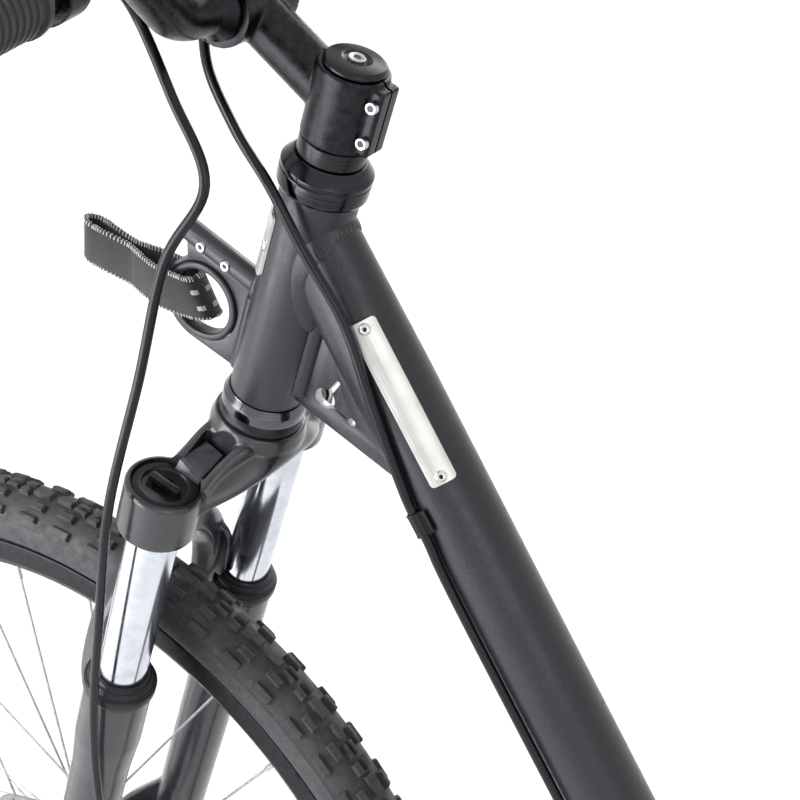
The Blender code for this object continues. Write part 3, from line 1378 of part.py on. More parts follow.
def add_stem():
    inner = STEERER_RADIUS + CLEARANCE
    spacer = [
        (COVER_TOP_RADIUS - 0.0005, STEM_LOW),
        (COVER_TOP_RADIUS - 0.0005, STEM_LOW + SPACER_HEIGHT - CLEARANCE),
        (inner, STEM_LOW + SPACER_HEIGHT - CLEARANCE),
        (inner, STEM_LOW),
    ]
    placed("headset_spacer", turned(spacer), STEER, BLACK_ANODISED)
    low = STEM_LOW + SPACER_HEIGHT
    clamp = turned(
        [
            (STEM_CLAMP_RADIUS - STEM_EDGE, low),
            (STEM_CLAMP_RADIUS, low + STEM_EDGE),
            (STEM_CLAMP_RADIUS, STEM_TOP - STEM_EDGE),
            (STEM_CLAMP_RADIUS - STEM_EDGE, STEM_TOP),
        ],
        TUBE_SIDES,
        hollow=False,
    )
    stem = placed("stem", clamp, STEER, BLACK_ANODISED)
    middle = low + STEM_CLAMP_HEIGHT / 2
    fore, up = BAR_CENTRE
    arm = rod([Vector((0, 0, middle)), Vector((fore, 0, up))], STEM_ARM_RADIUS, 16, (0, 1, 0))
    combined(stem, arm, STEER, "UNION")
    shell = BAR_CLAMP_RADIUS + BAR_CLAMP_WALL
    across = [Vector((fore, side * BAR_CLAMP_HALF, up)) for side in (-1, 1)]
    combined(stem, rod(across, shell, TUBE_SIDES, (1, 0, 0)), STEER, "UNION")
    bar = [Vector((fore, side * CUTTER_REACH, up)) for side in (-1, 1)]
    combined(stem, rod(bar, BAR_CLAMP_RADIUS + CLEARANCE, TUBE_SIDES, (1, 0, 0)), STEER)
    steerer = turned([(inner, 0), (inner, STEM_TOP + CUTTER_REACH)], hollow=False)
    combined(stem, steerer, STEER)
    reach = CUTTER_REACH
    front_half = [(STEM_SPLIT, -reach), (reach, -reach), (reach, reach), (STEM_SPLIT, reach)]
    bar_frame = upright_plate_frame(STEER, 0) @ Matrix.Translation((fore, up, 0))
    combined(stem, prism(front_half, -reach, reach), bar_frame)
    plate = placed("stem_faceplate", rod(across, shell, TUBE_SIDES, (1, 0, 0)), STEER, BLACK_ANODISED)
    combined(plate, rod(bar, BAR_CLAMP_RADIUS + CLEARANCE, TUBE_SIDES, (1, 0, 0)), STEER)
    split = STEM_SPLIT + FACEPLATE_GAP
    rear_half = [(-reach, -reach), (split, -reach), (split, reach), (-reach, reach)]
    combined(plate, prism(rear_half, -reach, reach), bar_frame)
    cap_low = STEM_TOP + CLEARANCE
    cap = [
        (STEM_CLAMP_RADIUS - STEM_CAP_INSET, cap_low),
        (STEM_CLAMP_RADIUS - STEM_CAP_INSET, cap_low + 0.4 * STEM_CAP_HEIGHT),
        (STEM_CLAMP_RADIUS - STEM_CAP_HEIGHT, cap_low + STEM_CAP_HEIGHT),
    ]
    placed("stem_cap", turned(cap, TUBE_SIDES, hollow=False), STEER, BLACK_ANODISED)


def bar_line(side, grip_end):
    """One half of the handlebar's centre line in the steering frame."""
    fore, up = BAR_CENTRE
    return rounded_path(
        [
            (fore, 0, up),
            (fore, side * BAR_FLAT_HALF, up),
            (fore - BAR_BEND_BACK, side * BAR_BEND_SIDE, up + BAR_RISE),
            (fore - BAR_SWEEP, side * grip_end, up + BAR_RISE + BAR_UPSWEEP),
        ],
        BAR_BEND,
        20.0,
    )


BAR_TIP = bar_line(1, BAR_HALF_WIDTH)[-1]
BAR_LAST_BEND = bar_line(1, BAR_HALF_WIDTH)[-2]


def on_bar(side, place):
    """A point on the straight outer stretch of the handlebar, at a distance from the middle plane."""
    along = (BAR_TIP - BAR_LAST_BEND).normalized()
    point = BAR_LAST_BEND + along * (place - BAR_LAST_BEND.y) / along.y
    return Vector((point.x, side * point.y, point.z))


def add_handlebar():
    tip = BAR_HALF_WIDTH - GRIP_END - CLEARANCE
    right = bar_line(-1, BAR_HALF_WIDTH)
    left = bar_line(1, BAR_HALF_WIDTH)
    right[-1] = on_bar(-1, tip)
    left[-1] = on_bar(1, tip)
    line = [*reversed(right), *left[1:]]
    middle = len(right) - 1
    line.pop(middle)
    bar = placed("handlebar", pipe(line, BAR_RADIUS, BAR_WALL, SMALL_SIDES, (1, 0, 0)), STEER, BLACK_ANODISED)
    fore, up = BAR_CENTRE
    thick = BAR_CLAMP_RADIUS
    sleeve_line = [Vector((fore, y, up)) for y in (-BAR_SLEEVE_HALF, BAR_SLEEVE_HALF)]
    sleeve = pipe(sleeve_line, thick, thick - BAR_RADIUS + BAR_WALL / 2, TUBE_SIDES, (1, 0, 0))
    combined(bar, sleeve, STEER, "UNION")


def add_grips():
    inner_end = BAR_HALF_WIDTH - GRIP_LENGTH
    for name, side in (("grip_left", 1), ("grip_right", -1)):
        line = [on_bar(side, inner_end), on_bar(side, BAR_HALF_WIDTH)]
        grip = placed(name, rod(line, GRIP_RADIUS, TUBE_SIDES, (1, 0, 0)), STEER, BLACK_RUBBER)
        seat = [on_bar(side, inner_end - CUTTER_REACH), on_bar(side, BAR_HALF_WIDTH - GRIP_END)]
        combined(grip, rod(seat, BAR_RADIUS + CLEARANCE, 16, (1, 0, 0)), STEER)


LEVER_BODY_END = LEVER_BODY_OUTER - LEVER_BODY_LENGTH


def lever_frame(side):
    """A frame at the lever clamp: Y runs outboard along the bar, X points forward and down."""
    outboard = (on_bar(side, BAR_HALF_WIDTH) - on_bar(side, LEVER_PLACE)).normalized()
    tilt = math.radians(LEVER_TILT_DEG)
    fore = Vector((math.cos(tilt), 0, math.sin(tilt)))
    fore = (fore - outboard * fore.dot(outboard)).normalized()
    normal = fore.cross(outboard)
    local = frame_of(fore, outboard, normal, on_bar(side, LEVER_PLACE))
    return STEER @ local


def add_lever_set(word, side):
    """A clamp with its master cylinder, and the lever blade that swings in it."""
    frame = lever_frame(side)
    half = LEVER_CLAMP_WIDTH / 2
    shell = BAR_RADIUS + LEVER_CLAMP_WALL
    clamp = rod([Vector((0, y, 0)) for y in (-half, half)], shell, 16, (1, 0, 0))
    body = placed(f"lever_body_{word}", clamp, frame, BLACK_ANODISED)
    reach = LEVER_PIVOT_FORE
    centre = LEVER_BODY_SHARE * reach
    cylinder_line = [Vector((centre, y, 0)) for y in (LEVER_BODY_END, LEVER_BODY_OUTER)]
    combined(body, rod(cylinder_line, LEVER_BODY_RADIUS, 16, (1, 0, 0)), frame, "UNION")
    fork_outline = [
        (0.010, -0.004),
        (0.010, 0.020),
        (reach + 0.007, 0.020),
        (reach + 0.007, 0.004),
        (0.7 * reach, -0.004),
    ]
    combined(body, prism(fork_outline, -0.0085, 0.0085), frame, "UNION")
    bore_line = [Vector((0, y, 0)) for y in (-CUTTER_REACH, CUTTER_REACH)]
    combined(body, rod(bore_line, BAR_RADIUS + CLEARANCE, 16, (1, 0, 0)), frame)
    gap = LEVER_HALF_THICKNESS + LEVER_SLOT_GAP
    mouth = [(reach - 0.0075, -0.002), (reach - 0.0075, 0.03), (reach + 0.02, 0.03), (reach + 0.02, -0.002)]
    combined(body, prism(mouth, -gap, gap), frame)
    pivot = frame @ Matrix.Translation((reach, LEVER_PIVOT_SIDE, 0))
    outline = [
        (-0.0055, -0.0010),
        (-0.0030, -0.0055),
        (0.0030, -0.0055),
        (0.0055, 0.0000),
        (LEVER_GAP - reach + 0.0045, 0.022),
        (LEVER_GAP - reach + 0.0065, 0.5 * LEVER_REACH),
        (LEVER_GAP - reach + 0.0085, 0.86 * LEVER_REACH),
        (LEVER_GAP - reach + 0.0125, LEVER_REACH),
        (LEVER_GAP - reach + 0.0045, LEVER_REACH + 0.001),
        (LEVER_GAP - reach - 0.0015, 0.86 * LEVER_REACH),
        (LEVER_GAP - reach - 0.0045, 0.5 * LEVER_REACH),
        (LEVER_GAP - reach - 0.0075, 0.026),
        (-0.0040, 0.0060),
    ]
    blade = prism(outline, -LEVER_HALF_THICKNESS, LEVER_HALF_THICKNESS)
    placed(f"brake_lever_{word}", blade, pivot, SILVER)


# Brake hoses
def hose(name, route, pieces):
    """A hose drawn as a bevelled curve through a smooth line."""
    curve = bpy.data.curves.new(name, "CURVE")
    curve.dimensions = "3D"
    curve.bevel_depth = HOSE_RADIUS
    curve.bevel_resolution = 2
    curve.use_fill_caps = True
    points = smooth_route(route, pieces)
    line = curve.splines.new("POLY")
    line.points.add(len(points) - 1)
    for slot, point in zip(line.points, points):
        slot.co = (*point, 1)
    curve.materials.append(HOSE_BLACK)
    made = bpy.data.objects.new(name, curve)
    bpy.context.scene.collection.objects.link(made)


def hose_port(side):
    """Where a hose leaves the inner end of a master cylinder."""
    return lever_frame(side) @ Vector((LEVER_BODY_SHARE * LEVER_PIVOT_FORE, LEVER_BODY_END - 0.001, 0))


def front_hose_route():
    """From the left lever, down the left fork leg, to the front caliper."""
    port = hose_port(1)
    inboard = port - lever_frame(1).col[1].to_3d() * 0.025
    caliper = caliper_frame(FRONT_WHEEL, FRONT_ROTOR_SIDE, FRONT_CALIPER_DEG)
    entry = caliper @ Vector((CALIPER_HEIGHT / 2 + HOSE_RADIUS, -0.010, 0))
    return [
        port,
        inboard,
        steered(0.098, 0.052, 0.205),
        steered(0.062, 0.054, 0.172),
        steered(0.030, 0.060, 0.142),
        steered(0.037, 0.070, 0.096),
        steered(0.030, 0.082, 0.030),
        steered(0.026, 0.092, -0.050),
        steered(0.018, 0.092, -0.130),
        steered(0.006, 0.089, -0.235),
        steered(-0.013, 0.080, -0.330),
        steered(-0.028, 0.062, -0.400),
        entry + FORE_STEER * -0.008 + UP_STEER * 0.022,
        entry,
    ]


def rear_hose_route():
    """From the right lever, across the head tube to the left of the down tube, to the rear caliper."""
    port = hose_port(-1)
    inboard = port - lever_frame(-1).col[1].to_3d() * 0.025
    caliper = caliper_frame(REAR_WHEEL, REAR_ROTOR_SIDE, REAR_CALIPER_DEG)
    entry = caliper @ Vector((CALIPER_HEIGHT / 2 + HOSE_RADIUS, 0.010, 0))
    lap = down_tube_length - RAIL_LAP
    off_rail = RAIL_RADIUS + HOSE_RADIUS + 3 * CLEARANCE
    outside = RAIL_SIDE + off_rail - HOSE_SEAT
    flank = [Vector((p.x, p.y + off_rail, p.z)) for p in rail_line(1)[2:-1:2]]
    plate_side = DROPOUT_SIDE + DROPOUT_THICKNESS / 2 + HOSE_RADIUS + 2 * CLEARANCE
    return [
        port,
        inboard,
        steered(0.100, -0.060, 0.212),
        steered(0.101, -0.020, 0.193),
        steered(0.080, 0.006, 0.171),
        steered(0.045, 0.022, 0.154),
        steered(0.0135, 0.0285, 0.139),
        steered(-0.0145, 0.0275, 0.114),
        beside_tube(0.049, 24.0, 0.0012),
        beside_tube(0.090, 8.0),
        beside_tube(0.130, -8.0),
        beside_tube(CLIP_PLACE - 0.010, CLIP_ANGLE_DEG),
        beside_tube(CLIP_PLACE + 0.010, CLIP_ANGLE_DEG),
        beside_tube(0.217, -26.0),
        beside_tube(0.400, -30.0, 0.0003),
        beside_tube(0.600, -30.0, 0.0003),
        beside_tube(lap - 0.120, -28.0, 0.0010),
        beside_tube(lap - 0.070, -16.0, 0.0090),
        beside_tube(lap - 0.018, -2.0, outside),
        beside_tube(lap + 0.040, 0.0, outside),
        *flank,
        Vector((rear_axle.x + 0.134, plate_side, rear_axle.z - 0.100)),
        Vector((rear_axle.x + 0.090, plate_side, rear_axle.z - 0.062)),
        Vector((rear_axle.x + 0.070, plate_side, rear_axle.z - 0.020)),
        Vector((rear_axle.x + 0.080, DROPOUT_SIDE, rear_axle.z + 0.050)),
        entry + Vector((0.022, 0.006, 0.012)),
        entry,
    ]


def build():
    """Draws every piece of the bike."""
    add_head_tube()
    add_down_tube()
    add_rear_gusset()
    add_front_bracket()
    add_bracket_ring()
    add_bracket_socket()
    add_set_screws()
    add_tow_loop()
    add_plates()
    add_hose_clip()
    add_rails()
    add_deck_bridge()
    add_footboard()
    add_rear_dropouts()
    add_stand()
    add_wheel("front", FRONT_WHEEL, FRONT_SIZES)
    add_wheel("rear", REAR_WHEEL, REAR_SIZES)
    add_axle("front_axle", FRONT_WHEEL, FRONT_HUB_WIDTH + FORK_DROPOUT_THICKNESS, FORK_DROPOUT_THICKNESS)
    add_axle("rear_axle", REAR_WHEEL, 2 * DROPOUT_SIDE, DROPOUT_THICKNESS)
    add_caliper("front_caliper", caliper_frame(FRONT_WHEEL, FRONT_ROTOR_SIDE, FRONT_CALIPER_DEG))
    add_caliper("rear_caliper", caliper_frame(REAR_WHEEL, REAR_ROTOR_SIDE, REAR_CALIPER_DEG))
    add_headset()
    add_crown()
    add_fork_tubes()
    add_seals()
    add_fork_lowers()
    add_stem()
    add_handlebar()
    add_grips()
    add_lever_set("left", 1)
    add_lever_set("right", -1)
    hose("front_brake_hose", front_hose_route(), 4)
    hose("rear_brake_hose", rear_hose_route(), 2)


build()
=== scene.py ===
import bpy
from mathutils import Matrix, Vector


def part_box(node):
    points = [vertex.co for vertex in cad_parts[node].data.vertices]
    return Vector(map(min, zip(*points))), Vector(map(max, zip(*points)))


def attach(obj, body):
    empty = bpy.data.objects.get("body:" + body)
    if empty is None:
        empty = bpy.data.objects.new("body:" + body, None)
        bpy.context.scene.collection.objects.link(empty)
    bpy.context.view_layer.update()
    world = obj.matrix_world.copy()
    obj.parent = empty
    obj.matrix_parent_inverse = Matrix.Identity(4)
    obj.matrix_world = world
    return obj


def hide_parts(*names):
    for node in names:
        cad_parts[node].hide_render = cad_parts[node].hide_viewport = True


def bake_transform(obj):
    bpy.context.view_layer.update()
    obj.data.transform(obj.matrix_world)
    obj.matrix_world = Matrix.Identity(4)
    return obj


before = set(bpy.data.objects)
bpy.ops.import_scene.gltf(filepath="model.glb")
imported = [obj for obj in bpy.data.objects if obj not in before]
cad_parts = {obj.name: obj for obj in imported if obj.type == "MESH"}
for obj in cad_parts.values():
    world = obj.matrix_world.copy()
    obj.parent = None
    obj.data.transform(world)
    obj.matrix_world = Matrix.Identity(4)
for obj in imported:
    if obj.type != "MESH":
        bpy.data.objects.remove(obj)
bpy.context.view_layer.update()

import math
import random

import bmesh
import bpy
import numpy as np
from mathutils import Matrix, Vector

TAU = 2 * math.pi
SIDES = (("left", 1), ("right", -1))
AXIS = 1e-5  # radius of a profile's ends that lie on its axis

# Places and sizes taken from the CAD model, in metres
HEAD_LOW = Vector((0.437748, 0, 0.789266))
FRONT_AXLE = Vector((0.62968, 0, 0.328))
REAR_AXLE = Vector((-0.70368, 0, 0.254))
HEAD_ANGLE = math.radians(72)
TUBE_ANGLE = math.radians(58)
LEFT = Vector((0, 1, 0))
UP_STEER = Vector((-math.cos(HEAD_ANGLE), 0, math.sin(HEAD_ANGLE)))
FORE_STEER = Vector((math.sin(HEAD_ANGLE), 0, math.cos(HEAD_ANGLE)))
DOWN_TUBE = Vector((-math.cos(TUBE_ANGLE), 0, -math.sin(TUBE_ANGLE)))
TUBE_NORMAL = Vector((-math.sin(TUBE_ANGLE), 0, math.cos(TUBE_ANGLE)))
TUBE_JOIN = HEAD_LOW + 0.111 * UP_STEER
TUBE_LENGTH = 0.943146
TUBE_R = 0.0225
HEAD_R = 0.021
HEAD_LENGTH = 0.135
STEERER_BORE = 0.0146
PLATE_HALF = 0.003
HOSE_R = 0.00275


def frame_of(x_axis, y_axis, z_axis, origin):
    """A placing matrix from three directions and an origin."""
    columns = (x_axis, y_axis, z_axis, origin)
    return Matrix([[column[row] for column in columns] for row in range(3)] + [[0, 0, 0, 1]])


def shift(x, y, z):
    """A placing matrix that only moves."""
    return Matrix.Translation((x, y, z))


STEER = frame_of(FORE_STEER, LEFT, UP_STEER, HEAD_LOW)
TUBE = frame_of(TUBE_NORMAL, LEFT, DOWN_TUBE, TUBE_JOIN)
AXLE_TURN = Matrix.Rotation(-math.pi / 2, 4, "X")
FRONT_WHEEL = shift(*FRONT_AXLE) @ AXLE_TURN
REAR_WHEEL = shift(*REAR_AXLE) @ AXLE_TURN
PLATE_TURN = Matrix.Rotation(math.pi / 2, 4, "X")
MIDDLE = STEER @ PLATE_TURN  # outlines in (fore, up) of the steering frame, heights to the right


def steered(fore, left, up):
    """A point given in the steering frame."""
    return STEER @ Vector((fore, left, up))


def leg_frame(side):
    """The frame of one fork leg, with Z up its centre line."""
    return STEER @ shift(0.0127, side * 0.062, 0)


def add_camera():
    """The camera, as measured from the photograph."""
    azimuth, elevation, roll = (math.radians(value) for value in (32.718, 29.914, -0.508))
    flat = math.cos(elevation)
    back = Vector((-math.sin(azimuth) * flat, math.cos(azimuth) * flat, math.sin(elevation)))
    level = (-back).cross(Vector((0, 0, 1))).normalized()
    upright = level.cross(-back)
    right = level * math.cos(roll) + upright * math.sin(roll)
    up = upright * math.cos(roll) - level * math.sin(roll)
    data = bpy.data.cameras.new("camera")
    data.sensor_width, data.lens, data.clip_start = 36, 73.61, 0.02
    camera = bpy.data.objects.new("camera", data)
    bpy.context.scene.collection.objects.link(camera)
    camera.matrix_world = frame_of(right, up, back, (-0.052025, 0.626501, 1.235650))
    bpy.context.scene.camera = camera


add_camera()


# Materials
def add_node(tree, kind, inputs, output=0, **settings):
    """A new node with its inputs set or linked. Gives one of its outputs."""
    node = tree.nodes.new(f"ShaderNode{kind}")
    for key, value in settings.items():
        setattr(node, key, value)
    for key, value in inputs.items():
        if isinstance(value, bpy.types.NodeSocket):
            tree.links.new(value, node.inputs[key])
        else:
            node.inputs[key].default_value = value
    return node.outputs[output] if node.outputs else None


class Paint:
    """One node material, built around its Principled shader. Colours are linear."""

    def __init__(self, name, colour, roughness, metallic=0.0, turn=0.0, slot=None):
        self.material = bpy.data.materials.new(f"{name}_look")
        self.material["slot"] = slot or name
        self.material.use_nodes = True
        self.material.diffuse_color = (*colour, 1)
        self.tree = self.material.node_tree
        self.shader = self.tree.nodes["Principled BSDF"]
        self.set("Base Color", (*colour, 1)).set("Roughness", roughness).set("Metallic", metallic)
        self.place = self.node("TexCoord", {}, "Object")
        if turn:
            self.place = self.mapped((1, 1, 1), (0, turn, 0))

    def node(self, kind, inputs, output=0, **settings):
        return add_node(self.tree, kind, inputs, output, **settings)

    def mapped(self, scale, rotation=(0, 0, 0)):
        if not scale:
            return self.place
        return self.node("Mapping", {"Scale": scale, "Rotation": rotation, "Vector": self.place}, "Vector")

    def noise(self, scale, detail, stretch=None, rough=0.5):
        inputs = {"Scale": scale, "Detail": detail, "Roughness": rough, "Vector": self.mapped(stretch)}
        return self.node("TexNoise", inputs, "Fac")

    def cells(self, scale):
        return self.node("TexVoronoi", {"Scale": scale, "Vector": self.place}, "Distance")

    def wave(self, scale, direction, distortion=0.0):
        inputs = {"Scale": scale, "Distortion": distortion, "Vector": self.place}
        return self.node("TexWave", inputs, "Fac", bands_direction=direction)

    def ramp(self, value, low, high, out_low=0.0, out_high=1.0):
        ends = {"From Min": low, "From Max": high, "To Min": out_low, "To Max": out_high}
        return self.node("MapRange", {**ends, "Value": value}, "Result")

    def math(self, operation, a, b):
        return self.node("Math", {0: a, 1: b}, operation=operation)

    def share(self, value, part):
        return self.math("MULTIPLY", value, part)

    def mix(self, share, first, second):
        """A colour between two: each is a colour or another mix's output."""
        first, second = ((*c, 1) if isinstance(c, tuple) else c for c in (first, second))
        return self.node("Mix", {0: share, 6: first, 7: second}, 2, data_type="RGBA")

    def edge_highlight(self):
        """High on convex edges, low in corners and on flats: the mask for a painted highlight along edges."""
        return self.ramp(self.node("NewGeometry", {}, "Pointiness"), 0.52, 0.60)

    def set(self, socket, value):
        self.shader.inputs[socket].default_value = value
        return self

    def to(self, socket, value):
        self.tree.links.new(value, self.shader.inputs[socket])

    def gloss(self, scale, low, high):
        """An uneven roughness."""
        self.to("Roughness", self.ramp(self.noise(scale, 3), 0.3, 0.7, low, high))

    def bump(self, height, strength, distance):
        """Adds a relief to those that the shader has."""
        inputs = {"Strength": strength, "Distance": distance, "Height": height}
        normal = self.shader.inputs["Normal"]
        if normal.is_linked:
            inputs["Normal"] = normal.links[0].from_socket
        self.to("Normal", self.node("Bump", inputs, "Normal"))


STEER_TURN = math.radians(18)
TUBE_TURN = math.radians(-32)


def powder_coat(name, dark, light, roughness):
    """Matte powder coat: fine lighter flakes in a slightly uneven ground, with orange peel."""
    paint = Paint(name, dark, roughness, 0.15)
    ground = paint.mix(paint.ramp(paint.noise(9, 3), 0.3, 0.7), dark, light)
    for scale, low, high, part, gain in ((1150, 0.10, 0.34, 0.40, 2.6), (420, 0.05, 0.13, 0.55, 4.5)):
        flakes = paint.ramp(paint.cells(scale), low, high, 1.0, 0.0)
        ground = paint.mix(paint.share(flakes, part), ground, tuple(gain * c for c in light))
    # Convex edges lightened towards pale grey: painted highlight.
    paint.to("Base Color", paint.mix(paint.share(paint.edge_highlight(), 0.25), ground, (0.16, 0.16, 0.17)))
    paint.gloss(160, roughness - 0.05, roughness + 0.08)
    paint.bump(paint.noise(1500, 2), 0.10, 0.0003)
    paint.bump(paint.noise(240, 2), 0.06, 0.0008)
    return paint.material


def cast_paint(name, dark, light, roughness):
    """Painted casting: smoother than powder coat, with a slow waviness under the gloss."""
    paint = Paint(name, dark, roughness, 0.1)
    ground = paint.mix(paint.ramp(paint.noise(14, 3), 0.35, 0.65), dark, light)
    # Convex edges lightened towards pale grey: painted highlight.
    paint.to("Base Color", paint.mix(paint.share(paint.edge_highlight(), 0.35), ground, (0.13, 0.13, 0.15)))
    paint.gloss(90, roughness - 0.05, roughness + 0.07)
    paint.set("Coat Weight", 0.6).set("Coat Roughness", 0.16)
    paint.bump(paint.noise(900, 2), 0.05, 0.0003)
    paint.bump(paint.noise(70, 2), 0.05, 0.001)
    return paint.material


def turned_metal(name, dark, light, roughness, slot=None):
    """Turned and anodised metal, with fine rings round the steering axis."""
    paint = Paint(name, dark, roughness, 1.0, STEER_TURN, slot)
    rings = paint.noise(1.0, 3, (12, 12, 5200))
    paint.to("Base Color", paint.mix(paint.ramp(rings, 0.35, 0.65), dark, light))
    paint.gloss(60, roughness - 0.04, roughness + 0.08)
    paint.bump(rings, 0.05, 0.0002)
    return paint.material


def chrome_plate(name):
    """Polished hard chrome with faint rings and a haze of dust."""
    paint = Paint(name, (0.66, 0.69, 0.74), 0.1, 1.0, STEER_TURN)
    haze = paint.ramp(paint.noise(42, 5, None, 0.65), 0.45, 0.75)
    scratches = paint.ramp(paint.noise(1.0, 3, (14, 14, 900)), 0.60, 0.75)
    rough = paint.ramp(haze, 0.0, 1.0, 0.12, 0.22)
    paint.to("Roughness", paint.math("ADD", rough, paint.share(scratches, 0.1)))
    paint.to("Base Color", paint.mix(haze, (0.74, 0.77, 0.82), (0.56, 0.59, 0.65)))
    paint.bump(paint.noise(1.0, 2, (6, 6, 2600)), 0.018, 0.0002)
    return paint.material


def brushed_sheet(name):
    """Stainless sheet brushed along the down tube."""
    paint = Paint(name, (0.66, 0.65, 0.62), 0.3, 0.9, TUBE_TURN)
    lines = paint.noise(1.0, 4, (1800, 1800, 30))
    tone = paint.mix(paint.ramp(lines, 0.3, 0.7), (0.52, 0.515, 0.49), (0.76, 0.755, 0.73))
    stain = paint.ramp(paint.noise(55, 3), 0.45, 0.75)
    paint.to("Base Color", paint.mix(stain, tone, (0.56, 0.545, 0.51)))
    paint.to("Roughness", paint.ramp(lines, 0.2, 0.8, 0.26, 0.46))
    paint.set("Anisotropic", 0.4)
    paint.bump(lines, 0.10, 0.0001)
    return paint.material


def bare_metal(name, dark, light, roughness, slot=None):
    """Plain machined or plated metal with small marks."""
    paint = Paint(name, dark, roughness, 1.0, slot=slot)
    marks = paint.noise(220, 4, None, 0.6)
    paint.to("Base Color", paint.mix(paint.ramp(marks, 0.35, 0.65), dark, light))
    paint.to("Roughness", paint.ramp(marks, 0.3, 0.7, roughness - 0.06, roughness + 0.1))
    paint.bump(marks, 0.05, 0.0002)
    return paint.material


def rubber(name, dark, light, roughness, grain=700, relief=0.12):
    """Moulded rubber or plastic with a fine skin."""
    paint = Paint(name, dark, roughness)
    paint.to("Base Color", paint.mix(paint.ramp(paint.noise(35, 4), 0.35, 0.7), dark, light))
    paint.gloss(120, roughness - 0.08, roughness + 0.08)
    paint.set("Specular IOR Level", 0.35).set("Specular Tint", (0.93, 0.92, 1.0, 1))
    paint.bump(paint.noise(grain, 3), relief, 0.0003)
    return paint.material


def tyre_rubber(name):
    """Tread rubber: grey bloom and dust in scattered patches."""
    paint = Paint(name, (0.03, 0.03, 0.032), 0.8)
    bloom = paint.ramp(paint.noise(140, 5, None, 0.65), 0.25, 0.8)
    ground = paint.mix(bloom, (0.040, 0.039, 0.044), (0.078, 0.076, 0.084))
    dust = paint.share(paint.ramp(paint.noise(420, 3), 0.60, 0.72), 0.35)
    paint.to("Base Color", paint.mix(dust, ground, (0.17, 0.16, 0.15)))
    paint.gloss(150, 0.48, 0.80)
    paint.bump(paint.noise(900, 3), 0.25, 0.0003)
    return paint.material


def woven(name):
    """Webbing: ribs across the band and a fine twill over them."""
    paint = Paint(name, (0.016, 0.016, 0.018), 0.85, 0.0, STEER_TURN)
    height = paint.math("ADD", paint.wave(330, "Z"), paint.share(paint.wave(420, "DIAGONAL", 0.3), 0.6))
    # The colour follows the weave's relief: painted shade in its low places, painted highlight on its ribs.
    tone = paint.mix(paint.ramp(height, 0.2, 1.4), (0.008, 0.008, 0.009), (0.045, 0.045, 0.05))
    paint.to("Base Color", tone)
    paint.set("Sheen Weight", 0.4).set("Sheen Roughness", 0.5)
    paint.bump(height, 0.5, 0.0004)
    return paint.material


def thread(name, slot):
    """White sewing thread with its twist."""
    paint = Paint(name, (0.75, 0.74, 0.72), 0.8, slot=slot)
    twist = paint.wave(900, "DIAGONAL")
    # The colour follows the twist's relief: painted shade between the plies.
    paint.to("Base Color", paint.mix(twist, (0.55, 0.54, 0.52), (0.84, 0.83, 0.81)))
    paint.bump(twist, 0.4, 0.0002)
    return paint.material


def grit(name):
    """Anti-slip coat: sharp grains in black binder, a little paler where feet rub."""
    paint = Paint(name, (0.02, 0.02, 0.02), 0.9)
    grains = paint.cells(900)
    ground = paint.mix(paint.ramp(grains, 0.0, 0.5), (0.055, 0.055, 0.055), (0.012, 0.012, 0.012))
    rubbed = paint.ramp(paint.noise(30, 4), 0.5, 0.8, 0.0, 0.35)
    paint.to("Base Color", paint.mix(rubbed, ground, (0.09, 0.09, 0.088)))
    paint.to("Roughness", paint.ramp(grains, 0.0, 0.6, 0.65, 0.95))
    paint.bump(grains, 0.7, 0.0006)
    return paint.material


FRAME_PAINT = powder_coat("frame_paint", (0.026, 0.0255, 0.032), (0.037, 0.036, 0.045), 0.32)
CROWN_PAINT = cast_paint("crown_paint", (0.024, 0.0235, 0.030), (0.034, 0.033, 0.042), 0.30)
CHROME = chrome_plate("chrome")
DARK, MID = (0.022, 0.022, 0.024), (0.050, 0.050, 0.054)
BLACK_ANODISED = turned_metal("black_anodised", DARK, MID, 0.26)
DARK, MID = (0.080, 0.080, 0.090), (0.150, 0.150, 0.165)
CUP_POLISH = turned_metal("cup_polish", DARK, MID, 0.13, "black_anodised")
DARK, MID = (0.022, 0.022, 0.026), (0.050, 0.050, 0.056)
COVER_POLISH = turned_metal("cover_polish", DARK, MID, 0.14, "black_anodised")
BARE_EDGE = bare_metal("bare_edge", (0.34, 0.33, 0.34), (0.52, 0.51, 0.52), 0.30)
BARE_STEEL = bare_metal("bare_steel", (0.45, 0.45, 0.46), (0.62, 0.62, 0.63), 0.28)
STAINLESS = brushed_sheet("stainless")
SILVER = bare_metal("silver", (0.54, 0.54, 0.55), (0.72, 0.72, 0.73), 0.22)
BLACK_RUBBER = rubber("black_rubber", (0.020, 0.020, 0.023), (0.038, 0.038, 0.043), 0.36)
TYRE_RUBBER = tyre_rubber("tyre_rubber")
HOSE_BLACK = rubber("hose_black", (0.007, 0.007, 0.009), (0.013, 0.013, 0.016), 0.20, 1400, 0.04)
RIM_BLACK = bare_metal("rim_black", (0.024, 0.024, 0.027), (0.038, 0.038, 0.042), 0.36)
HUB_BLACK = bare_metal("hub_black", (0.026, 0.026, 0.029), (0.042, 0.042, 0.046), 0.32)
DARK, MID = (0.020, 0.020, 0.023), (0.034, 0.034, 0.038)
SATIN_BLACK = bare_metal("satin_black", DARK, MID, 0.30, "black_anodised")
ROTOR_STEEL = bare_metal("rotor_steel", (0.30, 0.30, 0.31), (0.43, 0.43, 0.44), 0.34, "bare_steel")
BLADE_SILVER = bare_metal("blade_silver", (0.40, 0.40, 0.41), (0.52, 0.52, 0.53), 0.32, "silver")
WEBBING = woven("webbing")
THREAD = thread("sewing_thread", "webbing")
DECK_COAT = grit("deck_coat")
BLACK_PLASTIC = rubber("black_plastic", (0.006, 0.006, 0.007), (0.014, 0.014, 0.016), 0.34, 500)


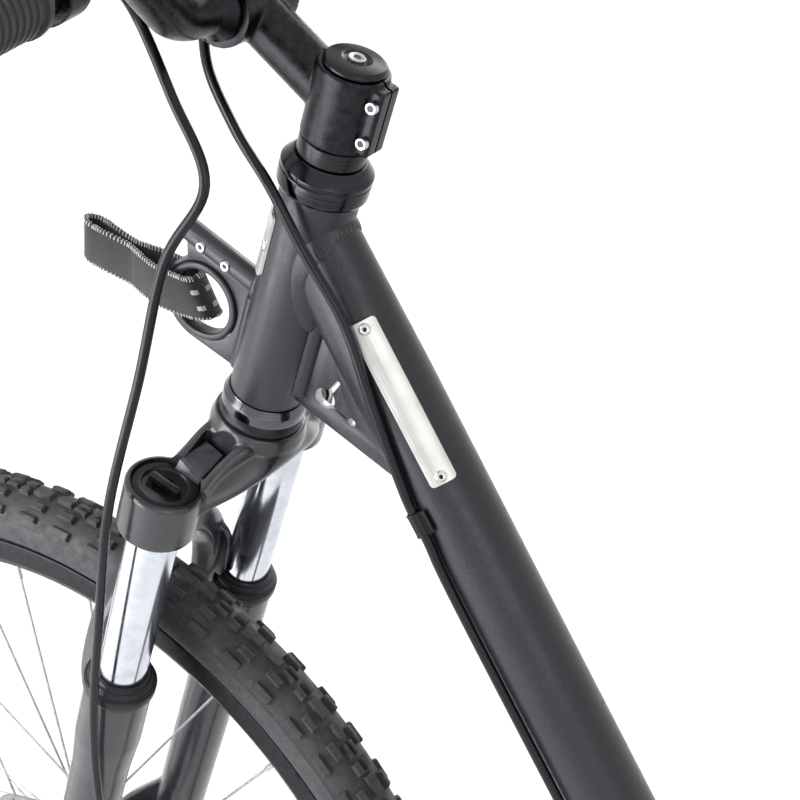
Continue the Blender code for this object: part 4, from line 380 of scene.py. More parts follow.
# Shapes are (points, faces). They are drawn in a frame of their own and then moved into place
def skin(rings, loop=False):
    """A closed body over rings of equal point counts, capped unless the rings form a loop."""
    rings = np.asarray([[tuple(point) for point in ring] for ring in rings], float)
    count, size, _ = rings.shape
    faces = []
    for i in range(count if loop else count - 1):
        first, second = i * size, (i + 1) % count * size
        for j in range(size):
            k = (j + 1) % size
            faces.append((first + j, first + k, second + k, second + j))
    if not loop:
        faces.append(tuple(range(size)))
        faces.append(tuple(range((count - 1) * size, count * size)))
    return rings.reshape(-1, 3), faces


def joined(*shapes):
    """Several shapes as one."""
    points, faces, start = [], [], 0
    for shape_points, shape_faces in shapes:
        points.append(shape_points)
        faces += [tuple(start + index for index in face) for face in shape_faces]
        start += len(shape_points)
    return np.concatenate(points), faces


def moved(shape, matrix):
    """The shape placed by a matrix."""
    points, faces = shape
    turn = np.array(matrix, float)
    return points @ turn[:3, :3].T + turn[:3, 3], faces


def smoothstep(share):
    """An eased share, held between 0 and 1."""
    share = min(max(share, 0.0), 1.0)
    return share * share * (3 - 2 * share)


def polar(radius, angle):
    return radius * math.cos(angle), radius * math.sin(angle)


def circle(radius, steps, centre=(0, 0)):
    points = (polar(radius, TAU * k / steps) for k in range(steps))
    return [(x + centre[0], y + centre[1]) for x, y in points]


def soften(points, radius, steps=3, closed=True):
    """An outline with its corners rounded."""
    corners = [Vector(point) for point in points]
    out = []
    for i, corner in enumerate(corners):
        if not closed and i in (0, len(corners) - 1):
            out.append(tuple(corner))
            continue
        back = corners[i - 1] - corner
        onward = corners[(i + 1) % len(corners)] - corner
        start = corner + back.normalized() * min(radius, 0.45 * back.length)
        end = corner + onward.normalized() * min(radius, 0.45 * onward.length)
        for k in range(steps + 1):
            t = k / steps
            out.append(tuple(start * (1 - t) ** 2 + corner * 2 * t * (1 - t) + end * t * t))
    return out


def lathe(profile, steps, closed=True, round_by=0.0, round_steps=3):
    """A body turned about Z from (radius, height) points."""
    if round_by:
        profile = soften(profile, round_by, round_steps, closed)
    rings = [[(x, y, height) for x, y in circle(radius, steps)] for radius, height in profile]
    return skin(rings, loop=closed)


def cylinder(radius, low, high, steps=96):
    return lathe([(radius, low), (radius, high)], steps, False)


def tube(outer, inner, low, high, steps, round_by):
    """A ring or tube with a square section."""
    return lathe([(outer, low), (outer, high), (inner, high), (inner, low)], steps, True, round_by)


def prism(outline, low, high):
    return skin([[(x, y, z) for x, y in outline] for z in (low, high)])


def rectangle(low_x, high_x, low_y, high_y):
    return [(low_x, low_y), (high_x, low_y), (high_x, high_y), (low_x, high_y)]


def slab(low_x, high_x, low_y, high_y, low, high):
    return prism(rectangle(low_x, high_x, low_y, high_y), low, high)


def prism_rounded(outline, low, high, edge, steps=3):
    """A prism whose long edges at both ends are rounded inwards."""
    middle = Vector((sum(p[0] for p in outline), sum(p[1] for p in outline))) / len(outline)
    corner = [Vector(p) for p in outline]
    inward = []
    for i, point in enumerate(corner):
        along = corner[(i + 1) % len(corner)] - corner[i - 1]
        across = Vector((-along.y, along.x)).normalized()
        inward.append(-across if across.dot(middle - point) < 0 else across)
    turns = (math.pi / 2 * (1 - k / steps) for k in range(steps + 1))
    levels = [(low + edge - edge * math.sin(a), edge - edge * math.cos(a)) for a in turns]
    upper = [(high - (height - low), inset) for height, inset in reversed(levels)]
    return skin([
        [(p.x + n.x * inset, p.y + n.y * inset, height) for p, n in zip(corner, inward)]
        for height, inset in [*levels, *upper]
    ])


def rounded_rectangle(half_x, half_y, corner, steps=6):
    return soften([(half_x, half_y), (-half_x, half_y), (-half_x, -half_y), (half_x, -half_y)], corner, steps)


ARC_STEP_DEG = 6.0


def rounded_path(corners, bend):
    """A centre line through corners, each inner corner replaced by an arc of radius bend."""
    points = [Vector(corners[0])]
    for before, corner, after in zip(corners, corners[1:], corners[2:]):
        corner = Vector(corner)
        back = (Vector(before) - corner).normalized()
        onward = (Vector(after) - corner).normalized()
        turn = math.pi - back.angle(onward)
        reach = bend * math.tan(turn / 2)
        centre = corner + (back + onward).normalized() * (bend / math.cos(turn / 2))
        start = corner + back * reach - centre
        side = (corner + onward * reach - centre) - start * math.cos(turn)
        side = side.normalized() * bend
        steps = max(1, round(math.degrees(turn) / ARC_STEP_DEG))
        for k in range(steps + 1):
            angle = turn * k / steps
            points.append(centre + start * math.cos(angle) + side * math.sin(angle))
    points.append(Vector(corners[-1]))
    return points


def neighbours(points):
    """Each stretch of a line, with the points before and after it."""
    ends = [2 * points[0] - points[1], *points, 2 * points[-1] - points[-2]]
    return zip(ends, ends[1:], ends[2:], ends[3:])


def smooth_route(points, pieces):
    """A smooth curve through points, with as many pieces between neighbours."""
    route = [Vector(point) for point in points]
    smooth = []
    for a, b, c, d in neighbours(route):
        for k in range(pieces):
            t = k / pieces
            slope = (c - a) * t
            bow = (2 * a - 5 * b + 4 * c - d) * t**2
            twist = (3 * b - a - 3 * c + d) * t**3
            smooth.append(0.5 * (2 * b + slope + bow + twist))
    return [*smooth, route[-1]]


def along_at(points, k):
    """The direction of an open line at its point k."""
    return (points[min(k + 1, len(points) - 1)] - points[max(k - 1, 0)]).normalized()


def sweep(points, section_at, reference):
    """Sections set square to a centre line. section_at(k) gives the outline at point k."""
    rings = []
    side = Vector(reference)
    for k, point in enumerate(points):
        along = along_at(points, k)
        side = (side - along * side.dot(along)).normalized()
        other = along.cross(side)
        rings.append([point + side * x + other * y for x, y in section_at(k)])
    return rings


def rod(points, radius, sides, reference=(0, 0, 1)):
    outline = circle(radius, sides)
    return skin(sweep([Vector(p) for p in points], lambda k: outline, reference))


def bar_across(radius, half, x=0.0, z=0.0, sides=96):
    """A round bar along Y."""
    return rod([(x, -half, z), (x, half, z)], radius, sides, (1, 0, 0))


def pipe(points, outer_at, bore, sides, reference):
    """A pipe along a line. outer_at(k) gives its outer radius at point k."""
    outer = sweep(points, lambda k: circle(outer_at(k), sides), reference)
    inner = sweep(points, lambda k: circle(bore, sides), reference)
    return skin([*outer, *reversed(inner)], loop=True)


def pointing(direction, origin):
    """A frame whose Z follows a direction."""
    axis = Vector(direction).normalized()
    side = axis.orthogonal().normalized()
    return frame_of(side, axis.cross(side), axis, origin)


def dome_rod(start, end, radius, sides=20, round_by=0.3):
    """A short round bar with rounded ends."""
    start, end = Vector(start), Vector(end)
    length = (end - start).length
    profile = soften([(0, 0), (radius, 0), (radius, length), (0, length)], round_by * radius, 3, False)
    profile = [(max(r, 1e-6), z) for r, z in profile]
    return moved(lathe(profile, sides, False), pointing(end - start, start))


def slot_outline(start, end, half_width, steps=10):
    """A long hole with round ends."""
    first, last = Vector(start), Vector(end)
    along = (last - first).normalized()
    across = Vector((-along.y, along.x))
    points = []
    for centre, sign in ((last, 1), (first, -1)):
        for k in range(steps + 1):
            x, y = polar(1, math.pi * (k / steps - 0.5))
            points.append(tuple(centre + (along * x + across * y) * half_width * sign))
    return points


# Pieces
def finished(data, sharp):
    data.shade_smooth()
    data.set_sharp_from_angle(angle=math.radians(sharp))


def make(name, shape, paint, body, node=None, place=None, sharp=38.0):
    """One piece of the model, riding on its body. It may replace a CAD node."""
    points, faces = shape if place is None else moved(shape, place)
    data = bpy.data.meshes.new(name)
    data.from_pydata([tuple(point) for point in points], [], faces)
    mesh = bmesh.new()
    mesh.from_mesh(data)
    bmesh.ops.remove_doubles(mesh, verts=mesh.verts, dist=1e-7)
    bmesh.ops.recalc_face_normals(mesh, faces=mesh.faces)
    mesh.to_mesh(data)
    mesh.free()
    data.materials.append(paint)
    finished(data, sharp)
    piece = bpy.data.objects.new(name, data)
    bpy.context.scene.collection.objects.link(piece)
    if body:
        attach(piece, body)
    if node:
        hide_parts(node)
    return piece


def add_change(piece, name, kind, **settings):
    change = piece.modifiers.new(name, kind)
    for key, value in settings.items():
        setattr(change, key, value)


def settle(piece, sharp=38.0):
    """Applies a piece's modifiers to its mesh."""
    graph = bpy.context.evaluated_depsgraph_get()
    data = bpy.data.meshes.new_from_object(piece.evaluated_get(graph))
    piece.modifiers.clear()
    old, piece.data = piece.data, data
    bpy.data.meshes.remove(old)
    finished(data, sharp)


def boolean(piece, shapes, place=None, operation="DIFFERENCE", sharp=38.0):
    """Cuts shapes from a piece, or joins them to it."""
    tools = [make("tool", shape, CHROME, None, place=place) for shape in shapes]
    for tool in tools:
        add_change(piece, "cut", "BOOLEAN", operation=operation, object=tool)
    settle(piece, sharp)
    for tool in tools:
        bpy.data.meshes.remove(tool.data)
    slots = piece.data.materials
    while len(slots) > 1:
        slots.pop()
    for polygon in piece.data.polygons:
        polygon.material_index = 0


def bevel(piece, width, segments, angle):
    """Rounds a piece's sharp edges."""
    add_change(
        piece, "round", "BEVEL", width=width, segments=segments, limit_method="ANGLE",
        angle_limit=math.radians(angle), miter_outer="MITER_ARC",
    )
    settle(piece)


def grown(piece, voxel, rounds):
    """Joins all the shapes of a piece into one skin and softens it."""
    paint = piece.data.materials[0]
    add_change(piece, "grow", "REMESH", mode="VOXEL", voxel_size=voxel)
    add_change(piece, "smooth", "SMOOTH", factor=0.5, iterations=rounds)
    settle(piece, 45.0)
    piece.data.materials.clear()
    piece.data.materials.append(paint)
    return piece


def casting(name, shapes, paint, body, voxel, rounds, node, place=None):
    """Shapes grown into one body with soft corners, as a casting has."""
    return grown(make(name, joined(*shapes), paint, body, node, place), voxel, rounds)


WELD_TAPER = 4


def weld(name, lines, closed=False, bulge=0.35, pitch=0.0017, ripple=0.00016, full=1.0):
    """A rippled bead between two surfaces. Each of its lines holds a point of the corner between
    them and one point of each edge."""
    steps = 8
    rings, travelled = [], 0.0
    for k, (corner, edge_a, edge_b) in enumerate(lines):
        if k:
            travelled += (corner - lines[k - 1][0]).length
        fade = 1.0 if closed else min(1.0, (min(k, len(lines) - 1 - k) + 0.5) / WELD_TAPER)
        first, second = corner.lerp(edge_a, fade), corner.lerp(edge_b, fade)
        out = ((first + second) / 2 - corner).normalized()
        width = (second - first).length
        ring = []
        for j in range(steps + 1):
            t = j / steps
            middle = (4 * t * (1 - t)) ** full
            lag = 0.55 * pitch * (2 * t - 1) ** 2
            wave = math.cos(TAU * (travelled + lag) / pitch)
            lift = width * bulge * 0.5 * middle + ripple * fade * (0.4 + 0.6 * middle) * wave
            ring.append(first.lerp(second, t) + out * lift)
        ring += [
            second - (first - corner).normalized() * 0.0010,
            corner - out * 0.0006,
            first - (second - corner).normalized() * 0.0010,
        ]
        rings.append(ring)
    make(name, skin(rings, loop=closed), FRAME_PAINT, "frame", sharp=60.0)


# Head tube and down tube
HEAD_CUT = moved(cylinder(HEAD_R - 0.0002, -0.06, 0.20, 128), STEER)


def neck_section(distance):
    """The down tube's half height and half width at a distance along it."""
    share = smoothstep(distance / 0.100)
    return 0.0235 + (TUBE_R - 0.0235) * share, 0.0185 + (TUBE_R - 0.0185) * share


def tube_point(turn, distance, grow=0.0):
    """A point on the down tube: turn 0 is its upper side and a quarter turn its left side."""
    height, width = neck_section(distance)
    return TUBE @ Vector(((height + grow) * math.cos(turn), (width + grow) * math.sin(turn), distance))


def tube_rings(distances, sides, grow=0.0):
    return [[tube_point(TAU * k / sides, d, grow) for k in range(sides)] for d in distances]


def seam_on_head(point_at):
    """How far along its tube a point meets the head tube's surface. point_at(d) gives the point."""
    near, far = -0.01, 0.06
    to_steer = STEER.inverted()
    for _ in range(40):
        middle = (near + far) / 2
        local = to_steer @ point_at(middle)
        if math.hypot(local.x, local.y) < HEAD_R:
            near = middle
        else:
            far = middle
    return (near + far) / 2


def on_head(point):
    """The nearest point of the head tube's surface."""
    local = STEER.inverted() @ point
    scale = HEAD_R / math.hypot(local.x, local.y)
    return STEER @ Vector((local.x * scale, local.y * scale, local.z))


def seam_weld(name, point_at, count, head_leg, tube_leg, **looks):
    """A bead round a tube that runs into the head tube. point_at(turn, d) lies on the tube, and
    both legs tell how far the bead reaches at a turn."""
    turns = [TAU * k / count for k in range(count)]
    seam = [seam_on_head(lambda d, t=turn: point_at(t, d)) for turn in turns]
    corner = [point_at(turn, reach) for turn, reach in zip(turns, seam)]
    middle = sum(corner, Vector()) / count
    lines = []
    for k, turn in enumerate(turns):
        along = (corner[(k + 1) % count] - corner[k - 1]).normalized()
        local = STEER.inverted() @ corner[k]
        normal = (STEER.to_3x3() @ Vector((local.x, local.y, 0))).normalized()
        away = along.cross(normal).normalized()
        if away.dot(corner[k] - middle) < 0:
            away = -away
        head_edge = on_head(corner[k] + away * head_leg(turn))
        lines.append((corner[k], head_edge, point_at(turn, seam[k] + tube_leg(turn))))
    weld(name, lines, closed=True, **looks)


def neck_leg_head(turn):
    """How far the neck's bead reaches over the head tube: least on top, most below."""
    below = (1 - math.cos(turn)) / 2
    return 0.0016 + 0.0070 * below * below


def neck_leg_tube(turn):
    """How far the neck's bead reaches along the down tube: most on its upper flanks."""
    flank = min(turn, TAU - turn) - math.radians(72)
    return 0.0032 + 0.0058 * math.exp(-((flank / math.radians(38)) ** 2))


def add_main_tubes():
    wall = tube(HEAD_R, 0.017, 0, HEAD_LENGTH, 128, 0.0005)
    make("head_tube_skin", wall, FRAME_PAINT, "frame", "head_tube", STEER)
    distances = [0.004 + 0.006 * k for k in range(17)] + [0.2, 0.5, TUBE_LENGTH]
    rings = [*tube_rings(distances, 128), *tube_rings(reversed(distances), 128, -0.002)]
    down_tube = make("down_tube_skin", skin(rings, loop=True), FRAME_PAINT, "frame", "down_tube")
    boolean(down_tube, [HEAD_CUT])
    seam_weld(
        "weld_down_tube", tube_point, 300, neck_leg_head, neck_leg_tube,
        bulge=0.44, full=0.5, pitch=0.0024, ripple=0.00026,
    )


def plate_weld(name, side, facing, low, length, head_leg, plate_leg):
    """A bead between the head tube and one face of a plate in the middle plane."""
    seat = math.sqrt(HEAD_R**2 - PLATE_HALF**2)
    on_tube = polar(HEAD_R, (PLATE_HALF + head_leg) / HEAD_R)
    ends = [(seat, PLATE_HALF), on_tube, (seat + plate_leg, PLATE_HALF)]
    lines = []
    for k in range(90):
        up = low + length * k / 89
        lines.append([steered(facing * fore, side * left, up) for fore, left in ends])
    weld(name, lines)


# Gusset
def bare_walls(piece, centre, reach):
    """Gives bare metal to the walls of holes near a point in (fore, up) of the steering frame."""
    if len(piece.data.materials) < 2:
        piece.data.materials.append(BARE_EDGE)
    to_steer = STEER.inverted()
    for polygon in piece.data.polygons:
        place = to_steer @ polygon.center
        if abs(polygon.normal.y) < 0.5 and math.hypot(place.x - centre[0], place.z - centre[1]) < reach:
            polygon.material_index = 1


def add_gusset():
    opener, opener_r = (-0.0370, 0.0185), 0.0064
    hole = (-0.0560, 0.0142)
    outline = [(0, 0.008), (-0.0880, -0.0015), (-0.108, 0.0185), (0, 0.080)]
    shape = prism(outline, -PLATE_HALF, PLATE_HALF)
    gusset = make("gusset_plate", shape, FRAME_PAINT, "frame", "rear_gusset", MIDDLE)
    boolean(gusset, [HEAD_CUT, skin(tube_rings((-0.02, 0.02, 0.06, 0.1, 0.3), 96, -0.0004))])
    notch = (opener[0] - 0.015 * 0.32, opener[1] + 0.015 * 0.95)
    slit = (opener[0] - opener_r * 0.9, opener[1] - opener_r * 0.3)
    holes = [
        circle(opener_r, 48, opener), slot_outline(opener, notch, 0.0013),
        slot_outline(slit, hole, 0.0007), circle(0.0028, 32, hole),
    ]
    boolean(gusset, [prism(shape, -2 * PLATE_HALF, 2 * PLATE_HALF) for shape in holes], MIDDLE)
    bevel(gusset, 0.00045, 2, 50)
    bare_walls(gusset, opener, 0.0155)
    bare_walls(gusset, hole, 0.0036)
    for word, side in SIDES:
        plate_weld(f"weld_gusset_head_{word}", side, -1, 0.0095, 0.064, 0.0050, 0.0048)
        lines = []
        for k in range(130):
            along = 0.030 + 0.098 * k / 129
            low, wide = neck_section(along)
            at = math.asin(PLATE_HALF / wide)
            turn = math.asin((PLATE_HALF + 0.0034) / wide)
            lines.append((
                tube_point(math.pi - side * at, along),
                tube_point(math.pi - side * turn, along),
                TUBE @ Vector((-low * math.cos(at) - 0.0030, side * PLATE_HALF, along)),
            ))
        weld(f"weld_gusset_tube_{word}", lines)


# Front bracket, ring, socket and webbing. Places in (fore, up) of the steering frame
RING = (0.0516, 0.0297)
RING_OUTER, RING_INNER = 0.0235, 0.01925
SOCKET_REAR = Vector((0.028, 0.0607))
SOCKET_FRONT = Vector((0.071, 0.0660))
SOCKET_LENGTH = (SOCKET_FRONT - SOCKET_REAR).length
SOCKET_R = 0.0064


def socket_frame():
    along = (SOCKET_FRONT - SOCKET_REAR).normalized()
    direction = FORE_STEER * along.x + UP_STEER * along.y
    return frame_of(LEFT.cross(direction), LEFT, direction, steered(SOCKET_REAR.x, 0, SOCKET_REAR.y))


SOCKET = socket_frame()


def socket_point(turn, distance):
    return SOCKET @ Vector((*polar(SOCKET_R, turn), distance - 0.012))


def add_front_bracket():
    lip = RING_OUTER + 0.0027
    outline = [(0, 0.0005), (RING[0], RING[1] - lip)]
    for k in range(1, 25):
        x, y = polar(lip, math.radians(-90 + 150 * k / 25))
        outline.append((RING[0] + x, RING[1] + y))
    outline += [tuple(SOCKET_FRONT), tuple(SOCKET_REAR), (0, SOCKET_REAR.y)]
    shape = prism(outline, -PLATE_HALF, PLATE_HALF)
    plate = make("bracket_plate", shape, FRAME_PAINT, "frame", "front_bracket", MIDDLE)
    eye = prism(circle(RING_OUTER + 0.0005, 96, RING), -2 * PLATE_HALF, 2 * PLATE_HALF)
    boolean(plate, [HEAD_CUT, moved(cylinder(SOCKET_R - 0.0004, -0.05, 0.1, 64), SOCKET), moved(eye, MIDDLE)])
    bevel(plate, 0.0005, 2, 50)
    profile = [(RING_OUTER, -0.005), (RING_OUTER, 0.005), (RING_INNER, 0.005), (RING_INNER, -0.005)]
    shape = lathe(profile, 144, True, 0.42 * (RING_OUTER - RING_INNER), 5)
    make("ring_band", shape, FRAME_PAINT, "frame", "bracket_ring", MIDDLE @ shift(*RING, 0))
    profile = [(AXIS, -0.020), (SOCKET_R, -0.020), (SOCKET_R, SOCKET_LENGTH), (AXIS, SOCKET_LENGTH)]
    shape = lathe(profile, 64, False, 0.0005)
    socket = make("socket_tube", shape, FRAME_PAINT, "frame", "bracket_socket", SOCKET)
    bores = [HEAD_CUT, moved(cylinder(0.0044, SOCKET_LENGTH - 0.04, SOCKET_LENGTH + 0.01, 64), SOCKET)]
    slope = (SOCKET_FRONT.y - SOCKET_REAR.y) / (SOCKET_FRONT.x - SOCKET_REAR.x)
    top = SOCKET_R + 0.0010
    screw = [
        (AXIS, 0.0047), (0.0029, 0.0047), (0.0029, top - 0.0004), (0.0026, top), (0.0016, top),
        (0.0013, top - 0.0003), (0.0013, top - 0.0016), (AXIS, top - 0.0016),
    ]
    for word, fore in (("front", 0.0580), ("rear", 0.0405)):
        place = SOCKET @ shift(0, 0, (fore - SOCKET_REAR.x) * math.hypot(1, slope)) @ AXLE_TURN
        bores.append(moved(cylinder(0.0031, 0, 0.02, 40), place))
        node = f"socket_screw_{word}"
        make(f"set_screw_{word}", lathe(screw, 48, False), SILVER, "frame", node, place)
        # A dark hexagon in each screw's key socket: painted shade.
        key = cylinder(0.0017, top - 0.0012, top - 0.0003, 6)
        make(f"set_screw_socket_shade_{word}", key, BLACK_ANODISED, "frame", place=place)
    boolean(socket, bores)
    seam_weld("weld_socket", socket_point, 90, lambda turn: 0.0030, lambda turn: 0.0028)
    for word, side in SIDES:
        plate_weld(f"weld_bracket_{word}", side, 1, 0.0015, 0.052, 0.0042, 0.0042)


LOOP_REAR, LOOP_FRONT, LOOP_GAP = 0.0512, 0.138, 0.0085
LOOP_HALF_WIDTH = 0.0125
LOOP_HALF_THICK = 0.0010


def loop_line():
    """The webbing loop's centre line in (fore, side), as in the CAD model but deeper into the ring."""
    middle = 0.5 * (LOOP_REAR + LOOP_FRONT) + 1.1 * LOOP_GAP
    fore = [LOOP_REAR + reach for reach in (0, 0.0006, 0.0034, 0.0120, 0.0290, 0.0450)]
    fore += [middle, LOOP_FRONT - 1.8 * LOOP_GAP, LOOP_FRONT - 0.6 * LOOP_GAP, LOOP_FRONT]
    side = [-share * LOOP_GAP for share in (0, 0.50, 0.84, 0.98, 1, 0.55, 0.35, 0.55, 0.55, 0)]
    half = list(zip(fore, side))
    line = half + [(fore, -side) for fore, side in reversed(half[1:-1])]
    return smooth_route(line[-2:] + line + line[:2], 8)[16:-16]


def loop_place(point, across, up):
    """A point of the webbing: up runs across the band, which leans where it lies in the ring."""
    reach = point.x - LOOP_REAR
    lean = math.radians(10 + 37 * math.exp(-reach / 0.022))
    centre = RING[1] + 0.0025 - 0.011 * (1 - math.exp(-reach / 0.033))
    x, y = point.x + across.x, point.y + across.y
    return steered(x + up * math.sin(lean), y, centre + up * math.cos(lean))


def add_webbing():
    points = loop_line()
    thick, wide = LOOP_HALF_THICK, LOOP_HALF_WIDTH
    count = len(points)
    along = [(points[(k + 1) % count] - points[k - 1]).normalized() for k in range(count)]
    across = [Vector((direction.y, -direction.x)) for direction in along]
    section = soften([(thick, wide), (-thick, wide), (-thick, -wide), (thick, -wide)], 0.0008, 2)
    rings = [[loop_place(point, out * a, up) for a, up in section] for point, out in zip(points, across)]
    make("webbing_band", skin(rings, loop=True), WEBBING, "frame", "tow_loop")
    random.seed(12)
    stitches = []
    travelled = 0.0
    for k in range(count):
        if travelled <= 0:
            for edge in (-1, 1):
                up = edge * (wide + random.uniform(0.0001, 0.0007))
                for face in (1, -1):
                    start = loop_place(points[k], across[k] * face * (thick + 0.0002), edge * (wide - 0.0016))
                    finish = loop_place(points[k], across[k] * face * (thick - 0.0004), up)
                    stitches.append(dome_rod(start, finish, 0.00042, 8))
            travelled = 0.0012
        travelled -= (points[(k + 1) % count] - points[k]).length
    for k in (3, 6, count - 4, count - 7):
        reach = along[k] * 0.0012
        for up in (row + 0.0005 * step for row in (-0.0062, 0.0034) for step in range(5)):
            for face in (1, -1):
                lift = across[k] * face * (thick + 0.0002)
                start = loop_place(points[k] - reach, lift, up)
                stitches.append(dome_rod(start, loop_place(points[k] + reach, lift, up + 0.0002), 0.00038, 8))
    make("webbing_stitches", joined(*stitches), THREAD, "frame")


# Plates, rivets and clip
def bent_plate(seat, thickness, edges_deg, low, high, corner, rows=60, columns=28):
    """A plate bent round Z with round corners. Its angles start at +Y and grow towards +X."""
    first, last = (math.radians(edge) for edge in edges_deg)
    half, middle = (last - first) / 2, (first + last) / 2
    rings = []
    for row in range(rows + 1):
        height = low + (high - low) * (0.5 - 0.5 * math.cos(math.pi * row / rows))
        gap = min(height - low, high - height)
        inset = 0.0
        if gap < corner:
            inset = corner - math.sqrt(max(corner**2 - (corner - gap) ** 2, 0.0))
        span = half - inset / seat
        ring = []
        for radius, direction, trim in ((seat + thickness, 1, 0.25 * thickness), (seat, -1, 0.0)):
            for k in range(columns + 1):
                angle = middle + direction * (span - trim / seat) * (2 * k / columns - 1)
                ring.append((radius * math.sin(angle), radius * math.cos(angle), height))
        rings.append(ring)
    return skin(rings)


RIVET = [
    (0.0010, -0.0002), (0.0010, 0.0009), (0.0013, 0.0013), (0.0020, 0.0012), (0.0029, 0.0007),
    (0.0033, 0.0001), (0.0033, -0.0003),
]


def around(frame_matrix, radius, angle_deg, along):
    """A frame on a tube's surface whose Z points straight out."""
    angle = math.radians(angle_deg)
    out = Vector((math.sin(angle), math.cos(angle), 0))
    axis = Vector((0, 0, 1))
    return frame_matrix @ frame_of(axis.cross(out), axis, out, out * radius + axis * along)


def add_plates():
    """The bare plates on the down tube and on the head tube, with their hollow rivets."""
    head = lathe(RIVET, 40, True, 0.0003, 2)
    seat, thick = TUBE_R + 0.0003, 0.0008
    shape = bent_plate(seat, thick, (22.5, 60.5), 0.053, 0.1475, 0.0022)
    make("frame_plate", shape, STAINLESS, "frame", "name_plate", TUBE)
    places = [around(TUBE, seat + thick, 41.0, along) for along in (0.0575, 0.1434)]
    make("frame_plate_rivets", joined(*(moved(head, place) for place in places)), SILVER, "frame")
    # A dark disc in each hollow rivet's hole: painted shade.
    shade_fill = cylinder(0.0011, -0.0002, 0.0002, 20)
    make("frame_plate_rivet_shade", joined(*(moved(shade_fill, place) for place in places)), BLACK_PLASTIC, "frame")
    seat, thick = HEAD_R + 0.0003, 0.0014
    shape = bent_plate(seat, thick, (31.0, 149.0), 0.078, 0.117, 0.0035, 60, 60)
    make("head_plate", shape, STAINLESS, "frame", "head_badge", STEER)
    places = [around(STEER, seat + thick, angle, 0.0975) for angle in (40.0, 140.0)]
    make("head_plate_rivets", joined(*(moved(head, place) for place in places)), SILVER, "frame")


def add_clip():
    """A thin band over the hose, its two ends rolled down onto the tube."""
    inner, thick, half_long = HOSE_R + 0.0003, 0.0009, 0.0065
    foot = -HOSE_R - 0.0003
    centre = [polar(inner + thick / 2, math.radians(-90 + 180 * k / 20)) for k in range(21)]
    left = [
        (foot + thick / 2, -inner - 0.0026), (foot + thick, -inner - 0.0012),
        (-0.0006, -inner - thick / 2),
    ]
    line = [Vector(point) for point in [*left, *centre, *((x, -y) for x, y in reversed(left))]]
    outside, inside = [], []
    for k, point in enumerate(line):
        along = along_at(line, k)
        normal = Vector((along.y, -along.x)) * thick / 2
        outside.append(tuple(point + normal))
        inside.append(tuple(point - normal))
    shapes = [prism([*outside, *reversed(inside)], -half_long, half_long)]
    for end in (-1, 1):
        bead = [(foot + 0.0009, end * (inner + 0.0030), z) for z in (-half_long, half_long)]
        shapes.append(dome_rod(*bead, 0.0010, 16))
    for rim in (-0.0061, 0.0061):
        shapes.append(rod([(x, y, rim) for x, y in centre], 0.00075, 12))
    x, y = polar(1, math.radians(-17.0))
    outward = TUBE_NORMAL * y + LEFT * x
    reach = TUBE_R + HOSE_R + 0.0006
    origin = TUBE @ Vector((reach * y, reach * x, 0.163))
    place = frame_of(outward, DOWN_TUBE.cross(outward), DOWN_TUBE, origin)
    make("clip_band", joined(*shapes), BLACK_PLASTIC, "frame", "hose_clip", place)


# Brake hoses
FRONT_HOSE = [
    (0.4364, 0.1352, 1.0497), (0.4407, 0.1106, 1.0500), (0.4676, 0.0520, 1.0145), (0.4436, 0.0540, 0.9720),
    (0.4224, 0.0600, 0.9336), (0.4433, 0.0700, 0.8920), (0.4570, 0.0820, 0.8271), (0.4779, 0.0920, 0.7497),
    (0.4950, 0.0920, 0.6712), (0.5161, 0.0890, 0.5676), (0.5274, 0.0800, 0.4714), (0.5347, 0.0620, 0.4002),
    (0.5212, 0.0345, 0.3397), (0.5356, 0.0345, 0.3213),
]
REAR_HOSE = [
    (0.4364, -0.1352, 1.0497), (0.4407, -0.1106, 1.0500), (0.4673, -0.0600, 1.0218),
    (0.4742, -0.0200, 1.0040), (0.4610, 0.0060, 0.9766), (0.4330, 0.0220, 0.9496),
    (0.4076, 0.0285, 0.9256), (0.3887, 0.0275, 0.8932), (0.3682, 0.0247, 0.8591),
    (0.3527, 0.0256, 0.8204), (0.3376, 0.0256, 0.7827), (0.3288, 0.0247, 0.7611),
    (0.3182, 0.0247, 0.7441), (0.2981, 0.0232, 0.7048), (0.2026, 0.0226, 0.5487),
    (0.0966, 0.0226, 0.3791), (0.0415, 0.0237, 0.2919), (0.0125, 0.0335, 0.2510),
    (-0.0216, 0.0544, 0.2110), (-0.0540, 0.0545, 0.1628), (-0.0883, 0.0545, 0.1115),
    (-0.1146, 0.0545, 0.0969), (-0.3196, 0.0545, 0.0950), (-0.4911, 0.0550, 0.0972),
    (-0.5272, 0.0595, 0.1140), (-0.5697, 0.0772, 0.1540), (-0.6137, 0.0772, 0.1920),
    (-0.6337, 0.0772, 0.2340), (-0.6237, 0.0708, 0.3040), (-0.6316, 0.0608, 0.3459),
    (-0.6536, 0.0548, 0.3339),
]


def add_hose(name, route, node):
    """A brake hose along a smooth route through its points; it rides on no body."""
    line = smooth_route(route, 10)
    hose = make(name, rod(line, HOSE_R, 20, (1, 0, 0)), HOSE_BLACK, None)
    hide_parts(node)
    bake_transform(hose)


def add_hoses():
    add_hose(
        "front_hose", FRONT_HOSE, "front_brake_hose",
    )
    add_hose(
        "rear_hose", REAR_HOSE, "rear_brake_hose",
    )


